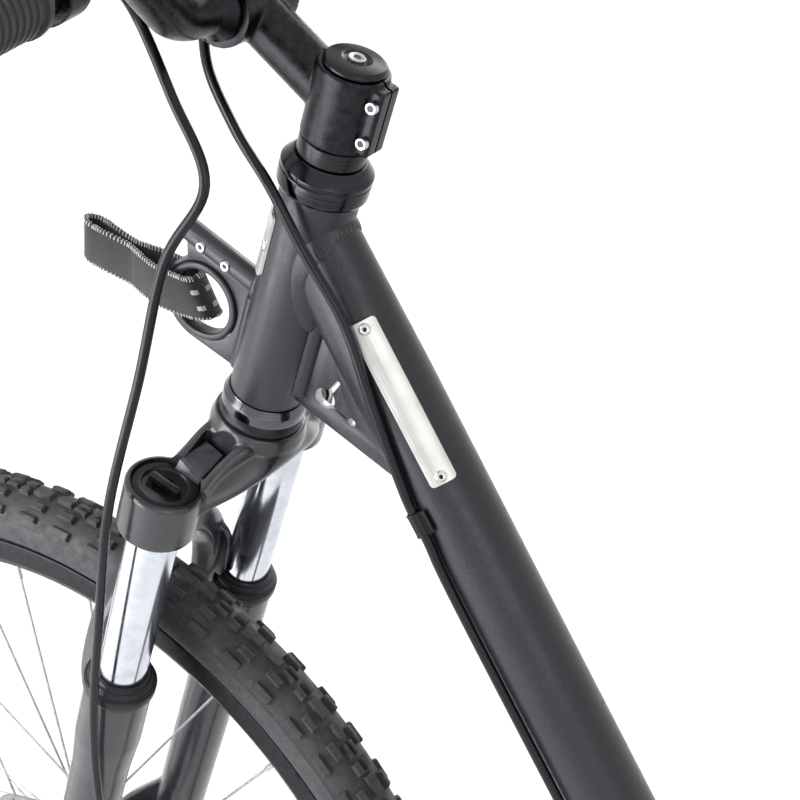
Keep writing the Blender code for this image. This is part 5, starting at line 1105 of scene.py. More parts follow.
# Headset
def add_headset():
    stub, bore, cavity, cup, wide, inner = 0.0167, 0.0155, 0.0203, 0.02375, 0.02425, STEERER_BORE
    top = HEAD_LENGTH
    low = top + 0.0108
    lower = [
        (bore, -0.003), (cavity, -0.003), (cavity, -0.0115), (cup - 0.0007, -0.0115), (cup, -0.0108),
        (cup, -0.0048), (cup - 0.0018, -0.0010), (cup - 0.0021, -0.0003), (stub, -0.0003),
        (stub, 0.010), (bore, 0.010),
    ]
    upper = [
        (bore, top - 0.010), (stub, top - 0.010), (stub, top + 0.0003), (wide - 0.0010, top + 0.0003),
        (wide - 0.0002, top + 0.0020), (wide, top + 0.0098), (wide - 0.0004, top + 0.0105),
        (cavity, top + 0.0105), (cavity, top + 0.003), (bore, top + 0.003),
    ]
    cover = [
        (inner, low), (wide, low), (wide, low + 0.0026), (wide - 0.0012, low + 0.0040),
        (0.0190, low + 0.0088), (0.0185, low + 0.0090), (inner, low + 0.0090),
    ]
    race = [
        (inner, -0.0178), (0.0240, -0.0178), (0.0240, -0.0160), (0.0234, -0.0140), (0.0226, -0.0124),
        (0.0220, -0.0118), (inner, -0.0118),
    ]
    for node, paint, profile in (("lower_cup", CUP_POLISH, lower), ("upper_cup", COVER_POLISH, upper)):
        make(f"{node}_skin", lathe(profile, 160, True, 0.0002, 2), paint, "frame", node, STEER, 20)
    for word, low, high in (("lower", -0.0115, -0.0033), ("upper", top + 0.0033, top + 0.0105)):
        ring = tube(0.0200, inner, low, high, 96, 0.0006)
        make(f"{word}_bearing_ring", ring, BARE_STEEL, "frame", f"{word}_bearing", STEER)
    shape = lathe(race, 128, True, 0.0003, 2)
    make("race_seal", shape, BLACK_PLASTIC, "steering", "crown_race", STEER)
    shape = lathe(cover, 160, True, 0.0003, 2)
    make("top_cover_skin", shape, COVER_POLISH, "steering", "top_cover", STEER, 20)


# Fork. Heights run up the steering axis from the head tube's lower end
CROWN_TOP = -0.0181
STANCHION_TOP = -0.0503
SEAL_BASE, SEAL_TOP = -0.2175, -0.2025
AXLE_DROP = 0.498
CROWN_STATIONS = (  # side, rear, front, low, high, rear crest, front crest
    (0.000, -0.0290, 0.0255, -0.0440, -0.0225, -0.0245, 0.0170),
    (0.013, -0.0285, 0.0240, -0.0447, -0.0235, -0.0215, 0.0175),
    (0.024, -0.0272, 0.0226, -0.0458, -0.0262, -0.0150, 0.0180),
    (0.040, -0.0215, 0.0226, -0.0510, -0.0368, -0.0105, 0.0190),
    (0.052, -0.0145, 0.0240, -0.0580, -0.0450, -0.0080, 0.0200),
    (0.062, -0.0085, 0.0255, -0.0690, -0.0490, -0.0060, 0.0210),
)
CROWN_RIDGES = (  # in (fore, side, up): behind the pocket and ahead of it
    [(-0.0048, 0.0490, -0.0462), (-0.0052, 0.0400, -0.0385), (-0.0072, 0.0325, -0.0312),
     (-0.0100, 0.0262, -0.0262), (-0.0130, 0.0170, -0.0256)],
    [(0.0192, 0.0490, -0.0470), (0.0180, 0.0370, -0.0396), (0.0170, 0.0270, -0.0320),
     (0.0160, 0.0170, -0.0280)],
)


def crown_section(rear, front, low, high, crest_rear, crest_front):
    """One arm's section: upright lower sides that slope in to two crests on top."""
    knee = 0.45 * low + 0.55 * high
    upper = [(front, knee), (crest_front, high), (crest_rear, high), (rear, knee)]
    return soften([*upper, (rear + 0.0060, low), (front - 0.0015, low)], 0.0055, 4)


def add_crown():
    both = [(-side, *rest) for side, *rest in reversed(CROWN_STATIONS[1:])] + list(CROWN_STATIONS)
    rings = []
    for side, *sizes in smooth_route(both, 4):
        rings.append([steered(fore, side, up) for fore, up in crown_section(*sizes)])
    hub = [(0.0258, CROWN_TOP), (0.0276, CROWN_TOP - 0.007), (0.0276, -0.034), (0.0235, -0.044)]
    shapes = [skin(rings), moved(lathe(hub, 96, False), STEER)]
    for side in (1, -1):
        boss = [(0.0210, -0.0440), (0.0225, -0.0455), (0.0225, -0.0770)]
        shapes.append(moved(lathe(boss, 96, False), leg_frame(side)))
        for ridge in CROWN_RIDGES:
            line = smooth_route([steered(x, side * y, z) for x, y, z in ridge], 6)
            shapes.append(rod(line, 0.0040, 24, FORE_STEER))
    crown = casting("crown_casting", shapes, CROWN_PAINT, "steering", 0.0008, 3, "fork_crown")
    pockets, pedestals = [], []
    bores = [moved(cylinder(0.0145, -0.1, 0.1), STEER)]
    for side in (1, -1):
        edge = [
            (-0.0060, 0.0268), (0.0160, 0.0255), (0.0163, 0.0465), (-0.0010, 0.0470), (-0.0016, 0.0400),
            (-0.0034, 0.0330),
        ]
        pocket = soften([(fore, side * left) for fore, left in edge], 0.002)
        pockets.append(moved(prism(pocket, CROWN_TOP - 0.0245, 0.0), STEER))
        bore = [(0.0152, -0.16), (0.0152, STANCHION_TOP), (0.0195, STANCHION_TOP), (0.0195, 0)]
        bores.append(moved(lathe(bore, 96, False), leg_frame(side)))
        low = [(0.0003, 0.0291, -0.05), (0.0141, 0.0272, -0.05), (0.0178, 0.05, -0.05), (0.0004, 0.05, -0.05)]
        top = [
            (0.0005, 0.0295, -0.0345), (0.0139, 0.0278, -0.0345), (0.0172, 0.0450, -0.0405),
            (0.0006, 0.0475, -0.0435),
        ]
        pedestals.append(skin([[steered(x, side * y, z) for x, y, z in ring] for ring in (low, top)]))
    boolean(crown, pockets, sharp=45)
    grown(crown, 0.0007, 5)
    boolean(crown, bores, sharp=40)
    boolean(crown, pedestals, operation="UNION", sharp=40)
    bevel(crown, 0.0007, 3, 40)


def add_fork_tubes():
    shape = tube(0.0143, 0.0121, -0.042, 0.2031, 64, 0.0005)
    make("steerer_skin", shape, BARE_STEEL, "steering", "steerer_tube", STEER)
    shape = tube(0.015, 0.013, -0.3175, STANCHION_TOP, 128, 0.0006)
    for word, side in SIDES:
        make(f"stanchion_skin_{word}", shape, CHROME, "steering", f"stanchion_{word}", leg_frame(side))


def add_caps():
    """The left leg's preload knob and the right leg's plain cap."""
    low, top, radius = STANCHION_TOP + 0.0003, -0.0455, 0.0192
    profile = [
        (AXIS, low), (radius, low), (radius, top - 0.0010), (radius - 0.0012, top), (0.0135, top),
        (0.0128, top - 0.0014), (0.0070, top - 0.0014), (0.0064, top - 0.0026), (AXIS, top - 0.0026),
    ]
    shape = lathe(profile, 96, False, 0.0003, 2)
    make("knob_cap", shape, BLACK_PLASTIC, "preload", "preload_knob", leg_frame(1))
    bar = prism_rounded(rounded_rectangle(0.0105, 0.0022, 0.0018), top - 0.002, top + 0.0022, 0.0006)
    make("knob_grip", bar, BLACK_PLASTIC, "preload", place=leg_frame(1))
    make("plain_cap", shape, BLACK_PLASTIC, "steering", "stanchion_cap", leg_frame(-1))


def add_wipers():
    """The dust seals on top of both lowers."""
    base = SEAL_BASE
    profile = [
        (0.0153, base), (0.0208, base), (0.0222, base + 0.0006), (0.0225, base + 0.002),
        (0.0225, base + 0.0070), (0.0217, base + 0.0080), (0.0205, base + 0.0083), (0.0200, base + 0.0092),
        (0.0199, base + 0.0118), (0.0192, base + 0.0126), (0.0182, base + 0.0128), (0.0178, base + 0.0136),
        (0.0174, SEAL_TOP - 0.0004), (0.0168, SEAL_TOP), (0.0153, SEAL_TOP),
    ]
    shape = lathe(profile, 128, True, 0.0004, 2)
    for word, side in SIDES:
        make(f"wiper_{word}", shape, BLACK_RUBBER, "lowers", f"seal_{word}", leg_frame(side))


def fork_arch():
    """The brace between the legs, ahead of the stanchions and over the tyre."""
    low, top = SEAL_BASE, -0.1395
    half = [
        (0.0227, 0.058, low - 0.030, 1.2),
        (0.034, 0.053, low - 0.008, 1.35),
        (0.037, 0.046, 0.55 * low + 0.45 * top, 1.4),
        (0.037, 0.034, 0.24 * low + 0.76 * top, 1.3),
        (0.037, 0.018, top - 0.003, 1.1),
        (0.037, 0.0, top, 1.0),
    ]
    line = smooth_route([*half, *((x, -y, z, wide) for x, y, z, wide in reversed(half[:-1]))], 5)

    def section(k):
        wide = 0.008 * line[k][3]
        return soften([(0.009, wide), (-0.009, wide), (-0.009, -wide), (0.009, -wide)], 0.005, 4)

    return skin(sweep([point.xyz for point in line], section, (0, 0, -1)))


def add_lowers():
    top, foot = -0.2178, -AXLE_DROP + 0.012
    leg = [
        (0.0208, top), (0.0208, top - 0.045), (0.0187, top - 0.075), (0.0175, foot),
        (0.0123, foot - 0.006),
    ]
    dropout = [
        (0.0027, -AXLE_DROP + 0.060), (0.0027, -AXLE_DROP + 0.014), (0.026, -AXLE_DROP - 0.014),
        (0.050, -AXLE_DROP - 0.016), (0.057, -AXLE_DROP + 0.002), (0.050, -AXLE_DROP + 0.018),
        (0.0267, -AXLE_DROP + 0.060),
    ]
    web = [
        (0.0400, -0.1560), (0.0350, -0.1578), (0.0275, -0.1625), (0.0215, -0.1665), (0.0185, -0.1760),
        (0.0190, top), (0.0400, top),
    ]
    tab = [
        (0.0047, -0.492), (0.0047, -0.423), (-0.0173, -0.436), (-0.0393, -0.450), (-0.0453, -0.480),
        (-0.0353, -0.492),
    ]
    hollow = [
        (0.0156, -0.40), (0.0156, top + 0.0001), (0.0231, top + 0.0001), (0.0231, top + 0.0160),
        (0.0156, top + 0.0160), (0.0156, -0.12),
    ]
    shapes, cuts = [moved(fork_arch(), STEER)], []
    for side in (1, -1):
        shapes.append(moved(lathe(leg, 96, False), leg_frame(side)))
        centre = -side * 0.0533
        shapes.append(moved(prism(soften(dropout, 0.006), centre - 0.004, centre + 0.004), MIDDLE))
        inner, outer = sorted((-side * 0.0420, -side * 0.0470))
        shapes.append(moved(prism(soften(web, 0.003), inner, outer), MIDDLE))
        cuts.append(moved(lathe(hollow, 96, False), leg_frame(side)))
    shapes.append(moved(prism(soften(tab, 0.006), -0.0543, -0.0473), MIDDLE))
    lowers = casting("fork_casting", shapes, CROWN_PAINT, "lowers", 0.0012, 4, "fork_lowers")
    slot = slot_outline((0.040, -AXLE_DROP), (0.044, -AXLE_DROP - 0.05), 0.0048)
    boolean(lowers, [*cuts, moved(prism(slot, -0.1, 0.1), MIDDLE)], sharp=40)


# Stem, handlebar and controls, drawn in the steering frame
STEM_LOW, STEM_TOP = 0.1551, 0.2051
BAR_FORE, BAR_UP = 0.07, 0.2071
BAR_R, BAR_THICK_R = 0.0111, 0.0159
BAR_TIP = Vector((0.0300, 0.3100, 0.2701))
BAR_LAST_BEND = Vector((0.0613, 0.1278, 0.2627))


def bar_line(side):
    """One half of the handlebar's centre line."""
    corners = [
        (BAR_FORE, 0, BAR_UP),
        (BAR_FORE, side * 0.050, BAR_UP),
        (BAR_FORE - 0.006, side * 0.112, BAR_UP + 0.055),
        (BAR_FORE - 0.040, side * 0.310, BAR_UP + 0.063),
    ]
    return [*rounded_path(corners, 0.045)[:-1], on_bar(side, 0.3067)]


def on_bar(side, place):
    """A point on the handlebar's straight outer stretch, at a distance from the middle plane."""
    along = (BAR_TIP - BAR_LAST_BEND).normalized()
    point = BAR_LAST_BEND + along * (place - BAR_LAST_BEND.y) / along.y
    return Vector((point.x, side * point.y, point.z))


def bar_frame(side, place, tilt_deg=0.0):
    """A frame on the bar: Y runs outboard along it, X forward, turned by a tilt."""
    outboard = (on_bar(side, 0.25) - on_bar(side, 0.20)).normalized()
    tilt = math.radians(tilt_deg)
    fore = Vector((math.cos(tilt), 0, math.sin(tilt)))
    fore = (fore - outboard * fore.dot(outboard)).normalized()
    return STEER @ frame_of(fore, outboard, fore.cross(outboard), on_bar(side, place))


def add_bolts(name, places, body, radius, height, key):
    """Cap screws whose heads stand along Z of their frames, with a dark hexagon at the bottom of each key
    socket: painted shade.
    """
    profile = [
        (key, height - 0.0024), (key, height - 0.0002), (key + 0.0003, height), (radius - 0.0004, height),
        (radius, height - 0.0004), (radius, 0.0002), (radius - 0.0002, 0), (AXIS, 0), (AXIS, height - 0.0024),
    ]
    head = lathe(profile, 36)
    # Dark hexagon filling the key socket: painted shade.
    shade_fill = cylinder(key + 0.0002, height - 0.0022, height - 0.0004, 6)
    make(f"{name}_heads", joined(*(moved(head, place) for place in places)), BARE_STEEL, body)
    make(f"{name}_key_shade", joined(*(moved(shade_fill, place) for place in places)), BLACK_ANODISED, body)


def add_stem():
    low, inner = STEM_LOW + 0.010, STEERER_BORE
    shell = 0.0204
    spacer = tube(0.0180, inner, STEM_LOW, low - 0.0003, 96, 0.0006)
    make("spacer_ring", spacer, BLACK_ANODISED, "steering", "headset_spacer", STEER)
    clamp = [(AXIS, low), (0.0185, low), (0.0185, STEM_TOP), (AXIS, STEM_TOP)]
    arm = [(0.004, 0, low + 0.020), (BAR_FORE, 0, BAR_UP)]
    lug = prism_rounded(rounded_rectangle(0.0055, 0.0080, 0.002), low + 0.002, STEM_TOP - 0.002, 0.001)
    shapes = [
        lathe(clamp, 96, False, 0.0012, 4),
        rod(arm, 0.0136, 64, (0, 1, 0)),
        bar_across(shell - 0.0002, 0.0208, BAR_FORE, BAR_UP),
        moved(lug, shift(-0.0175, 0, 0)),
    ]
    stem = casting("stem_body", shapes, SATIN_BLACK, "steering", 0.0008, 3, "stem", STEER)
    bar = bar_across(0.0162, 0.05, BAR_FORE, BAR_UP)
    front = slab(BAR_FORE + 0.0015, 0.13, -0.05, 0.05, 0.15, 0.26)
    slit = slab(-0.03, 0.0, -0.0008, 0.0008, 0.15, 0.22)
    boolean(stem, [bar, front, cylinder(inner, 0.1, 0.23), slit], STEER, sharp=40)
    bevel(stem, 0.0004, 2, 50)
    shape = bar_across(shell, 0.0209, BAR_FORE, BAR_UP)
    face = make("stem_face", shape, SATIN_BLACK, "steering", "stem_faceplate", STEER)
    rear = slab(-0.02, BAR_FORE + 0.0027, -0.05, 0.05, 0.15, 0.26)
    forward = frame_of(Vector((0, 0, 1)), LEFT, Vector((1, 0, 0)), (BAR_FORE, 0, BAR_UP))
    window = moved(prism(rounded_rectangle(0.0075, 0.0085, 0.003), 0.0, 0.05), forward)
    boolean(face, [bar, rear, window], STEER, sharp=40)
    bevel(face, 0.0007, 3, 50)
    places = []
    for side in (1, -1):
        for rise in (1, -1):
            origin = Vector((BAR_FORE + 0.0115, side * 0.0135, BAR_UP + rise * 0.0150))
            places.append(STEER @ pointing((1, 0, 0), origin))
    add_bolts("stem_face_bolt", places, "steering", 0.0032, 0.0038, 0.0016)
    places = [STEER @ pointing((0, 1, 0), Vector((-0.0195, 0.0078, up))) for up in (low + 0.010, low + 0.030)]
    add_bolts("stem_clamp_bolt", places, "steering", 0.0032, 0.0030, 0.0016)
    low = STEM_TOP + 0.0003
    cap = [
        (AXIS, low), (0.0163, low), (0.0163, low + 0.0018), (0.0148, low + 0.0034),
        (0.0075, low + 0.0042), (0.0060, low + 0.0030), (AXIS, low + 0.0030),
    ]
    make("stem_top_cap", lathe(cap, 96, False, 0.0006), BLACK_ANODISED, "steering", "stem_cap", STEER)
    add_bolts("stem_cap_bolt", [STEER @ shift(0, 0, low + 0.0028)], "steering", 0.0045, 0.0020, 0.0020)


def add_handlebar():
    """The bar, with a thicker middle where the stem holds it."""
    line = [STEER @ point for point in [*reversed(bar_line(-1)), *bar_line(1)[1:]]]
    middle = steered(BAR_FORE, 0, BAR_UP)
    fine = []
    for a, b in zip(line, line[1:]):
        pieces = max(1, round((b - a).length / 0.004)) if (a - middle).length < 0.09 else 1
        fine += [a.lerp(b, k / pieces) for k in range(pieces)]
    fine.append(line[-1])
    radii = [BAR_R if (point - middle).length > 0.0285 else BAR_THICK_R for point in fine]
    shape = pipe(fine, lambda k: radii[k], BAR_R - 0.002, 64, FORE_STEER)
    make("bar_tube", shape, SATIN_BLACK, "steering", "handlebar", sharp=50)


def add_grips():
    for word, side in SIDES:
        length = (on_bar(side, 0.310) - on_bar(side, 0.182)).length
        profile = [(0.0114, 0.0), (0.0158, 0.0), (0.0160, 0.0012), (0.0160, 0.0035), (0.0150, 0.0042)]
        position = 0.0070
        while position < length - 0.016:
            rib = ((0.0146, 0), (0.0152, 0.0009), (0.0152, 0.0024), (0.0146, 0.0033))
            profile += [(radius, position + reach) for radius, reach in rib]
            position += 0.0046
        profile += [
            (0.0150, length - 0.0110), (0.0160, length - 0.0100), (0.0160, length - 0.0012), (0.0150, length),
            (AXIS, length), (AXIS, length - 0.0028), (0.0114, length - 0.0030),
        ]
        place = bar_frame(side, 0.182) @ AXLE_TURN
        make(f"grip_sleeve_{word}", lathe(profile, 72), BLACK_RUBBER, "steering", f"grip_{word}", place, 30)


def add_levers():
    cheek = [(0.010, -0.004), (0.010, 0.020), (0.037, 0.020), (0.037, 0.004), (0.021, -0.004)]
    housing = [
        bar_across(0.0155, 0.008, sides=72),
        dome_rod((0.024, -0.0300, 0), (0.024, 0.0140, 0), 0.0095, 56),
        prism(soften(cheek, 0.004), -0.0085, 0.0085),
        moved(prism(rounded_rectangle(0.0052, 0.0068, 0.003), -0.0050, 0.0050), shift(-0.0160, 0, 0)),
    ]
    cuts = [
        bar_across(BAR_R + 0.0003, 0.03, sides=72),
        slab(0.0225, 0.050, -0.002, 0.03, -0.0043, 0.0043),
        slab(-0.03, -0.005, -0.01, 0.01, -0.0006, 0.0006),
    ]
    outline = [
        (-0.0055, -0.0010), (-0.0030, -0.0055), (0.0030, -0.0055), (0.0055, 0.0000), (0.0245, 0.022),
        (0.0265, 0.0525), (0.0285, 0.0903), (0.0325, 0.105), (0.0245, 0.106), (0.0185, 0.0903),
        (0.0155, 0.0525), (0.0125, 0.026), (-0.0040, 0.0060),
    ]
    holes = ((0.0028, (0.0195, 0.040)), (0.0024, (0.0215, 0.055)), (0.0020, (0.0230, 0.068)))
    nut = [
        (0.0030, -0.0001), (0.0048, 0.0), (0.0048, 0.0062), (0.0040, 0.0070), (0.0034, 0.0100),
        (0.0030, 0.0104),
    ]
    for word, side in SIDES:
        place = bar_frame(side, 0.162, -38.0)
        shapes = [moved(shape, place) for shape in housing]
        name, node = f"lever_housing_{word}", f"lever_body_{word}"
        body = casting(name, shapes, SATIN_BLACK, "steering", 0.0007, 3, node)
        boolean(body, cuts, place, sharp=40)
        bevel(body, 0.0003, 2, 55)
        pivot = place @ shift(0.030, 0.012, 0)
        shape = prism_rounded(soften(outline, 0.0045, 5), -0.0035, 0.0035, 0.0014, 4)
        node = f"brake_lever_{word}"
        blade = make(f"lever_blade_{word}", shape, BLADE_SILVER, f"lever_{word}", node, pivot)
        boolean(blade, [prism(circle(radius, 32, spot), -0.01, 0.01) for radius, spot in holes], pivot)
        pin = dome_rod((0, 0, -0.0088), (0, 0, 0.0088), 0.0024, 32, 0.2)
        make(f"lever_pin_{word}", pin, BARE_STEEL, "steering", place=pivot)
        spot = place @ pointing((0, 0, 1), Vector((-0.0165, 0, 0.0049)))
        add_bolts(f"lever_clamp_bolt_{word}", [spot], "steering", 0.0032, 0.0034, 0.0016)
        turn = frame_of(Vector((1, 0, 0)), Vector((0, 0, 1)), Vector((0, -1, 0)), (0.024, -0.0298, 0))
        make(f"lever_hose_nut_{word}", lathe(nut, 6, False), SATIN_BLACK, "steering", place=place @ turn)


# Deck, in the world's frame
RAIL_SIDE = 0.0368
RAIL_LINE = [
    (-0.0328, RAIL_SIDE, 0.1968), (-0.0787, RAIL_SIDE, 0.1232), (-0.0883, RAIL_SIDE, 0.1115),
    (-0.1005, RAIL_SIDE, 0.1025), (-0.1146, RAIL_SIDE, 0.0969), (-0.1296, RAIL_SIDE, 0.0950),
    (-0.3196, RAIL_SIDE, 0.0950), (-0.4711, RAIL_SIDE, 0.0950), (-0.4911, 0.0374, 0.0972),
    (-0.5102, 0.0391, 0.1036), (-0.5272, 0.0418, 0.1140), (-0.6257, 0.0620, 0.1900),
]
DROPOUT_SIDE = 0.0708
STRAIGHT = 0.05  # a stretch of a rail longer than this is left straight


def dense(line):
    """A line with its corners eased by a smooth curve and its straight runs left alone."""
    bends = 6
    out = []
    for a, b, c, d in neighbours(line):
        reach = (c - b).length
        if reach > STRAIGHT:
            out.append(b)
            continue
        before = (b - a).normalized() * reach if (b - a).length > STRAIGHT else (c - a) / 2
        after = (d - c).normalized() * reach if (d - c).length > STRAIGHT else (d - b) / 2
        for k in range(bends):
            t = k / bends
            h00, h10 = 2 * t**3 - 3 * t**2 + 1, t**3 - 2 * t**2 + t
            h01, h11 = -2 * t**3 + 3 * t**2, t**3 - t**2
            out.append(b * h00 + before * h10 + c * h01 + after * h11)
    return [*out, line[-1]]


def add_rails():
    plug = [
        (AXIS, -0.006), (0.0118, -0.006), (0.0118, 0), (0.0138, 0), (0.0138, 0.0008), (0.0124, 0.0018),
        (AXIS, 0.0021),
    ]
    for word, side in SIDES:
        line = dense([Vector((x, side * y, z)) for x, y, z in RAIL_LINE])
        shape = pipe(line, lambda k: 0.014, 0.012, 64, LEFT)
        rail = make(f"rail_tube_{word}", shape, FRAME_PAINT, "frame", f"rail_{word}")
        beyond = slab(-0.2, 0.2, side * (DROPOUT_SIDE - 0.0033), side * 0.2, 0, 0.5)
        boolean(rail, [beyond], shift(REAR_AXLE.x, 0, 0))
        place = pointing(line[0] - line[1], line[0])
        make(f"rail_plug_{word}", lathe(plug, 64, False, 0.0004, 2), BLACK_PLASTIC, "frame", place=place)


def add_deck():
    (low_x, low_y, low_z), (high_x, high_y, high_z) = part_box("deck_bridge")
    outline = soften(rectangle(low_x, high_x, low_y, high_y), 0.001, 2)
    make("bridge_plate", prism_rounded(outline, low_z, high_z, 0.0008), FRAME_PAINT, "frame", "deck_bridge")
    (low_x, low_y, low_z), (high_x, high_y, high_z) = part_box("footboard")
    place = shift((low_x + high_x) / 2, 0, 0)
    outline = rounded_rectangle((high_x - low_x) / 2, (high_y - low_y) / 2, 0.022, 10)
    shape = prism_rounded(outline, low_z, high_z, 0.0016, 4)
    board = make("deck_board", shape, DECK_COAT, "frame", "footboard", place)
    sink = 0.0016
    spots = [(x, side * RAIL_SIDE) for x in (-0.145, -0.05, 0.05, 0.145) for side in (1, -1)]
    cuts = [moved(cylinder(0.0046, -sink, 0.01, 40), shift(x, y, high_z)) for x, y in spots]
    groove = prism_rounded(rounded_rectangle(0.150, 0.0012, 0.0011), high_z - 0.0006, high_z + 0.01, 0.0002)
    cuts += [moved(groove, shift(0, y, 0)) for y in (-0.052, 0.052)]
    boolean(board, cuts, place)
    screws = [place @ shift(x, y, high_z - sink) for x, y in spots]
    add_bolts("deck_screw", screws, "frame", 0.0043, 0.0014, 0.0016)


def add_dropouts():
    plain = [
        (-0.018, -0.020), (-0.018, 0.014), (0.000, 0.020), (0.030, 0.004), (0.085, -0.046),
        (0.120, -0.066), (0.112, -0.090), (0.078, -0.078), (0.012, -0.022),
    ]
    tabbed = [*plain[:2], (-0.004, 0.030), (0.010, 0.084), (0.052, 0.084), (0.058, 0.010), *plain[4:]]
    slot = prism(slot_outline((0, 0), (-0.004, -0.05), 0.0048, 16), -0.01, 0.01)
    window = [(0.016, 0.030), (0.020, 0.066), (0.044, 0.066), (0.046, 0.022)]
    window = prism(soften(window, 0.005), -0.01, 0.01)
    for (word, side), outline, cuts in zip(SIDES, (tabbed, plain), ([slot, window], [slot])):
        place = shift(REAR_AXLE.x, side * DROPOUT_SIDE, REAR_AXLE.z) @ PLATE_TURN
        shape = prism(soften(outline, 0.004, 4), -0.003, 0.003)
        plate = make(f"dropout_plate_{word}", shape, FRAME_PAINT, "frame", f"dropout_{word}", place)
        boolean(plate, cuts, place)
        bevel(plate, 0.0007, 2, 50)
        first, last = [Vector((x, side * y, z)) for x, y, z in RAIL_LINE[-2:]]
        up = (last - first).normalized().cross(Vector((0, side, 0))).normalized() * side
        face = side * (DROPOUT_SIDE - 0.003)
        start = first.lerp(last, 0.55)
        start.y = face
        lines = []
        for k in range(61):
            turn = math.pi * (k / 60 - 0.5) * 0.9
            corner = first.lerp(last, 0.60 + 0.36 * math.cos(turn * 1.1)) + up * 0.0125 * math.sin(turn)
            corner.y = face
            away = (corner - start).normalized()
            inward = Vector((0, side * 0.0035, 0)) + away * 0.001
            lines.append((corner, corner + away * 0.004, corner - inward))
        weld(f"weld_dropout_{word}", lines, bulge=0.3)


def add_stand():
    x, z = -0.319603, 0.0657
    (low_x, low_y, _), (high_x, high_y, high_z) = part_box("stand_bracket")
    outline = soften(rectangle(low_x, high_x, low_y, high_y), 0.004, 4)
    plate = prism(outline, high_z - 0.005, high_z)
    bracket = make("stand_plate", plate, FRAME_PAINT, "frame", "stand_bracket")
    ear = prism(soften(rectangle(-0.012, 0.012, -0.0103, 0.014), 0.006, 5), -0.0025, 0.0025)
    ears = [moved(ear, shift(x, side * 0.028, z) @ PLATE_TURN) for side in (1, -1)]
    boolean(bracket, ears, operation="UNION")
    boolean(bracket, [bar_across(0.0066, 0.06, x, z, 48)])
    bevel(bracket, 0.0005, 2, 50)
    line = rounded_path([(0.016, 0.118, 0.009), (0, 0.046, z), (0, -0.046, z), (0.016, -0.118, 0.009)], 0.014)
    place = shift(x, 0, 0)
    make("stand_rod", rod(line, 0.006, 48, (1, 0, 0)), BARE_STEEL, "stand", "stand_legs", place)
    foot = [
        (AXIS, -0.009), (0.0036, -0.009), (0.0080, -0.0078), (0.009, -0.0063), (0.009, 0.0054),
        (0.0084, 0.0070), (0.0054, 0.009), (AXIS, 0.009),
    ]
    foot = lathe(foot, 48, False, 0.0008)
    feet = joined(*(moved(foot, shift(*end)) for end in (line[0], line[-1])))
    make("stand_feet", feet, BLACK_RUBBER, "stand", place=place)


# Wheels, each in a frame whose Z is its axle
TREAD_CROWN = 0.0215
TREAD_HEIGHT = 0.0034
TREAD_SPANS = (  # of even and odd rows: along in shares of a row's length, and across
    (
        (0.10, 0.60, -0.0036, 0.0036), (0.66, 0.96, 0.0012, 0.0062), (0.66, 0.96, -0.0062, -0.0012),
        (0.02, 0.44, 0.0080, 0.0136), (0.02, 0.44, -0.0136, -0.0080),
    ),
    (
        (0.06, 0.42, -0.0042, -0.0006), (0.06, 0.42, 0.0006, 0.0042), (0.50, 0.92, -0.0026, 0.0026),
        (0.20, 0.64, 0.0066, 0.0122), (0.20, 0.64, -0.0122, -0.0066),
    ),
)
SHOULDER_OUTER = (0.0216, 0.0232)
SPOKES = 28


def tread_block(low_x, high_x, low_y, high_y, top, tyre_radius, around_deg):
    """A block whose top is a little smaller than its foot, wrapped round the tyre's tread."""
    rings = []
    for height, shrink in ((-0.0006, 0.0), (top - 0.0005, 0.0009 * 0.7), (top, 0.0009 + 0.0004)):
        ring = []
        for along, across in rectangle(low_x + shrink, high_x - shrink, low_y + shrink, high_y - shrink):
            rise, side = polar(TREAD_CROWN + height, across / TREAD_CROWN)
            angle = math.radians(around_deg) + along / tyre_radius
            ring.append((*polar(tyre_radius - TREAD_CROWN + rise, angle), side))
        rings.append(ring)
    return skin(rings)


def add_tyre(name, place, body, radius, bead, count):
    base = radius - TREAD_HEIGHT
    outer = [
        (bead + 0.001, 0.0105), (bead + 0.0070, 0.0105), (bead + 0.0080, 0.0125), (bead + 0.0100, 0.0150),
        (bead + 0.0150, 0.0192), (bead + 0.0200, 0.0212), (bead + 0.0260, 0.0216), (bead + 0.0310, 0.0206),
    ]
    for k in range(13):
        rise, side = polar(TREAD_CROWN, math.radians(68 * (1 - k / 12)))
        outer.append((base - TREAD_CROWN + rise, side))
    inner = [(r - 0.0025 if r > bead + 0.02 else r + 0.0004, s - 0.0026) for r, s in outer[:-1]]
    inner.append((base - 0.0028, 0.0))
    profile = [*outer, *((r, -s) for r, s in reversed(outer[:-1]))]
    profile += [*((r, -s) for r, s in inner), *reversed(inner[:-1])]
    make(f"{name}_carcass", lathe(profile, 240), TYRE_RUBBER, body, f"{name}_tyre", place, 30)
    random.seed(31)
    blocks = []
    row = TAU * radius / count
    for k in range(count):
        at = k * (360 / count)
        top = TREAD_HEIGHT + random.uniform(-0.0002, 0.0002)
        spans = [(*span, top) for span in TREAD_SPANS[k % 2]]
        for side in (1, -1):
            spans.append((0.10, 0.62, *sorted((side * 0.0168, side * SHOULDER_OUTER[k % 2])), 0.0028))
        blocks += [tread_block(x0 * row, x1 * row, *across, base, at) for x0, x1, *across in spans]
    make(f"{name}_knobs", joined(*blocks), TYRE_RUBBER, body, place=place, sharp=30)


def mirrored(half):
    """A (radius, side) profile from its right half."""
    return [*((r, -s) for r, s in reversed(half)), *half]


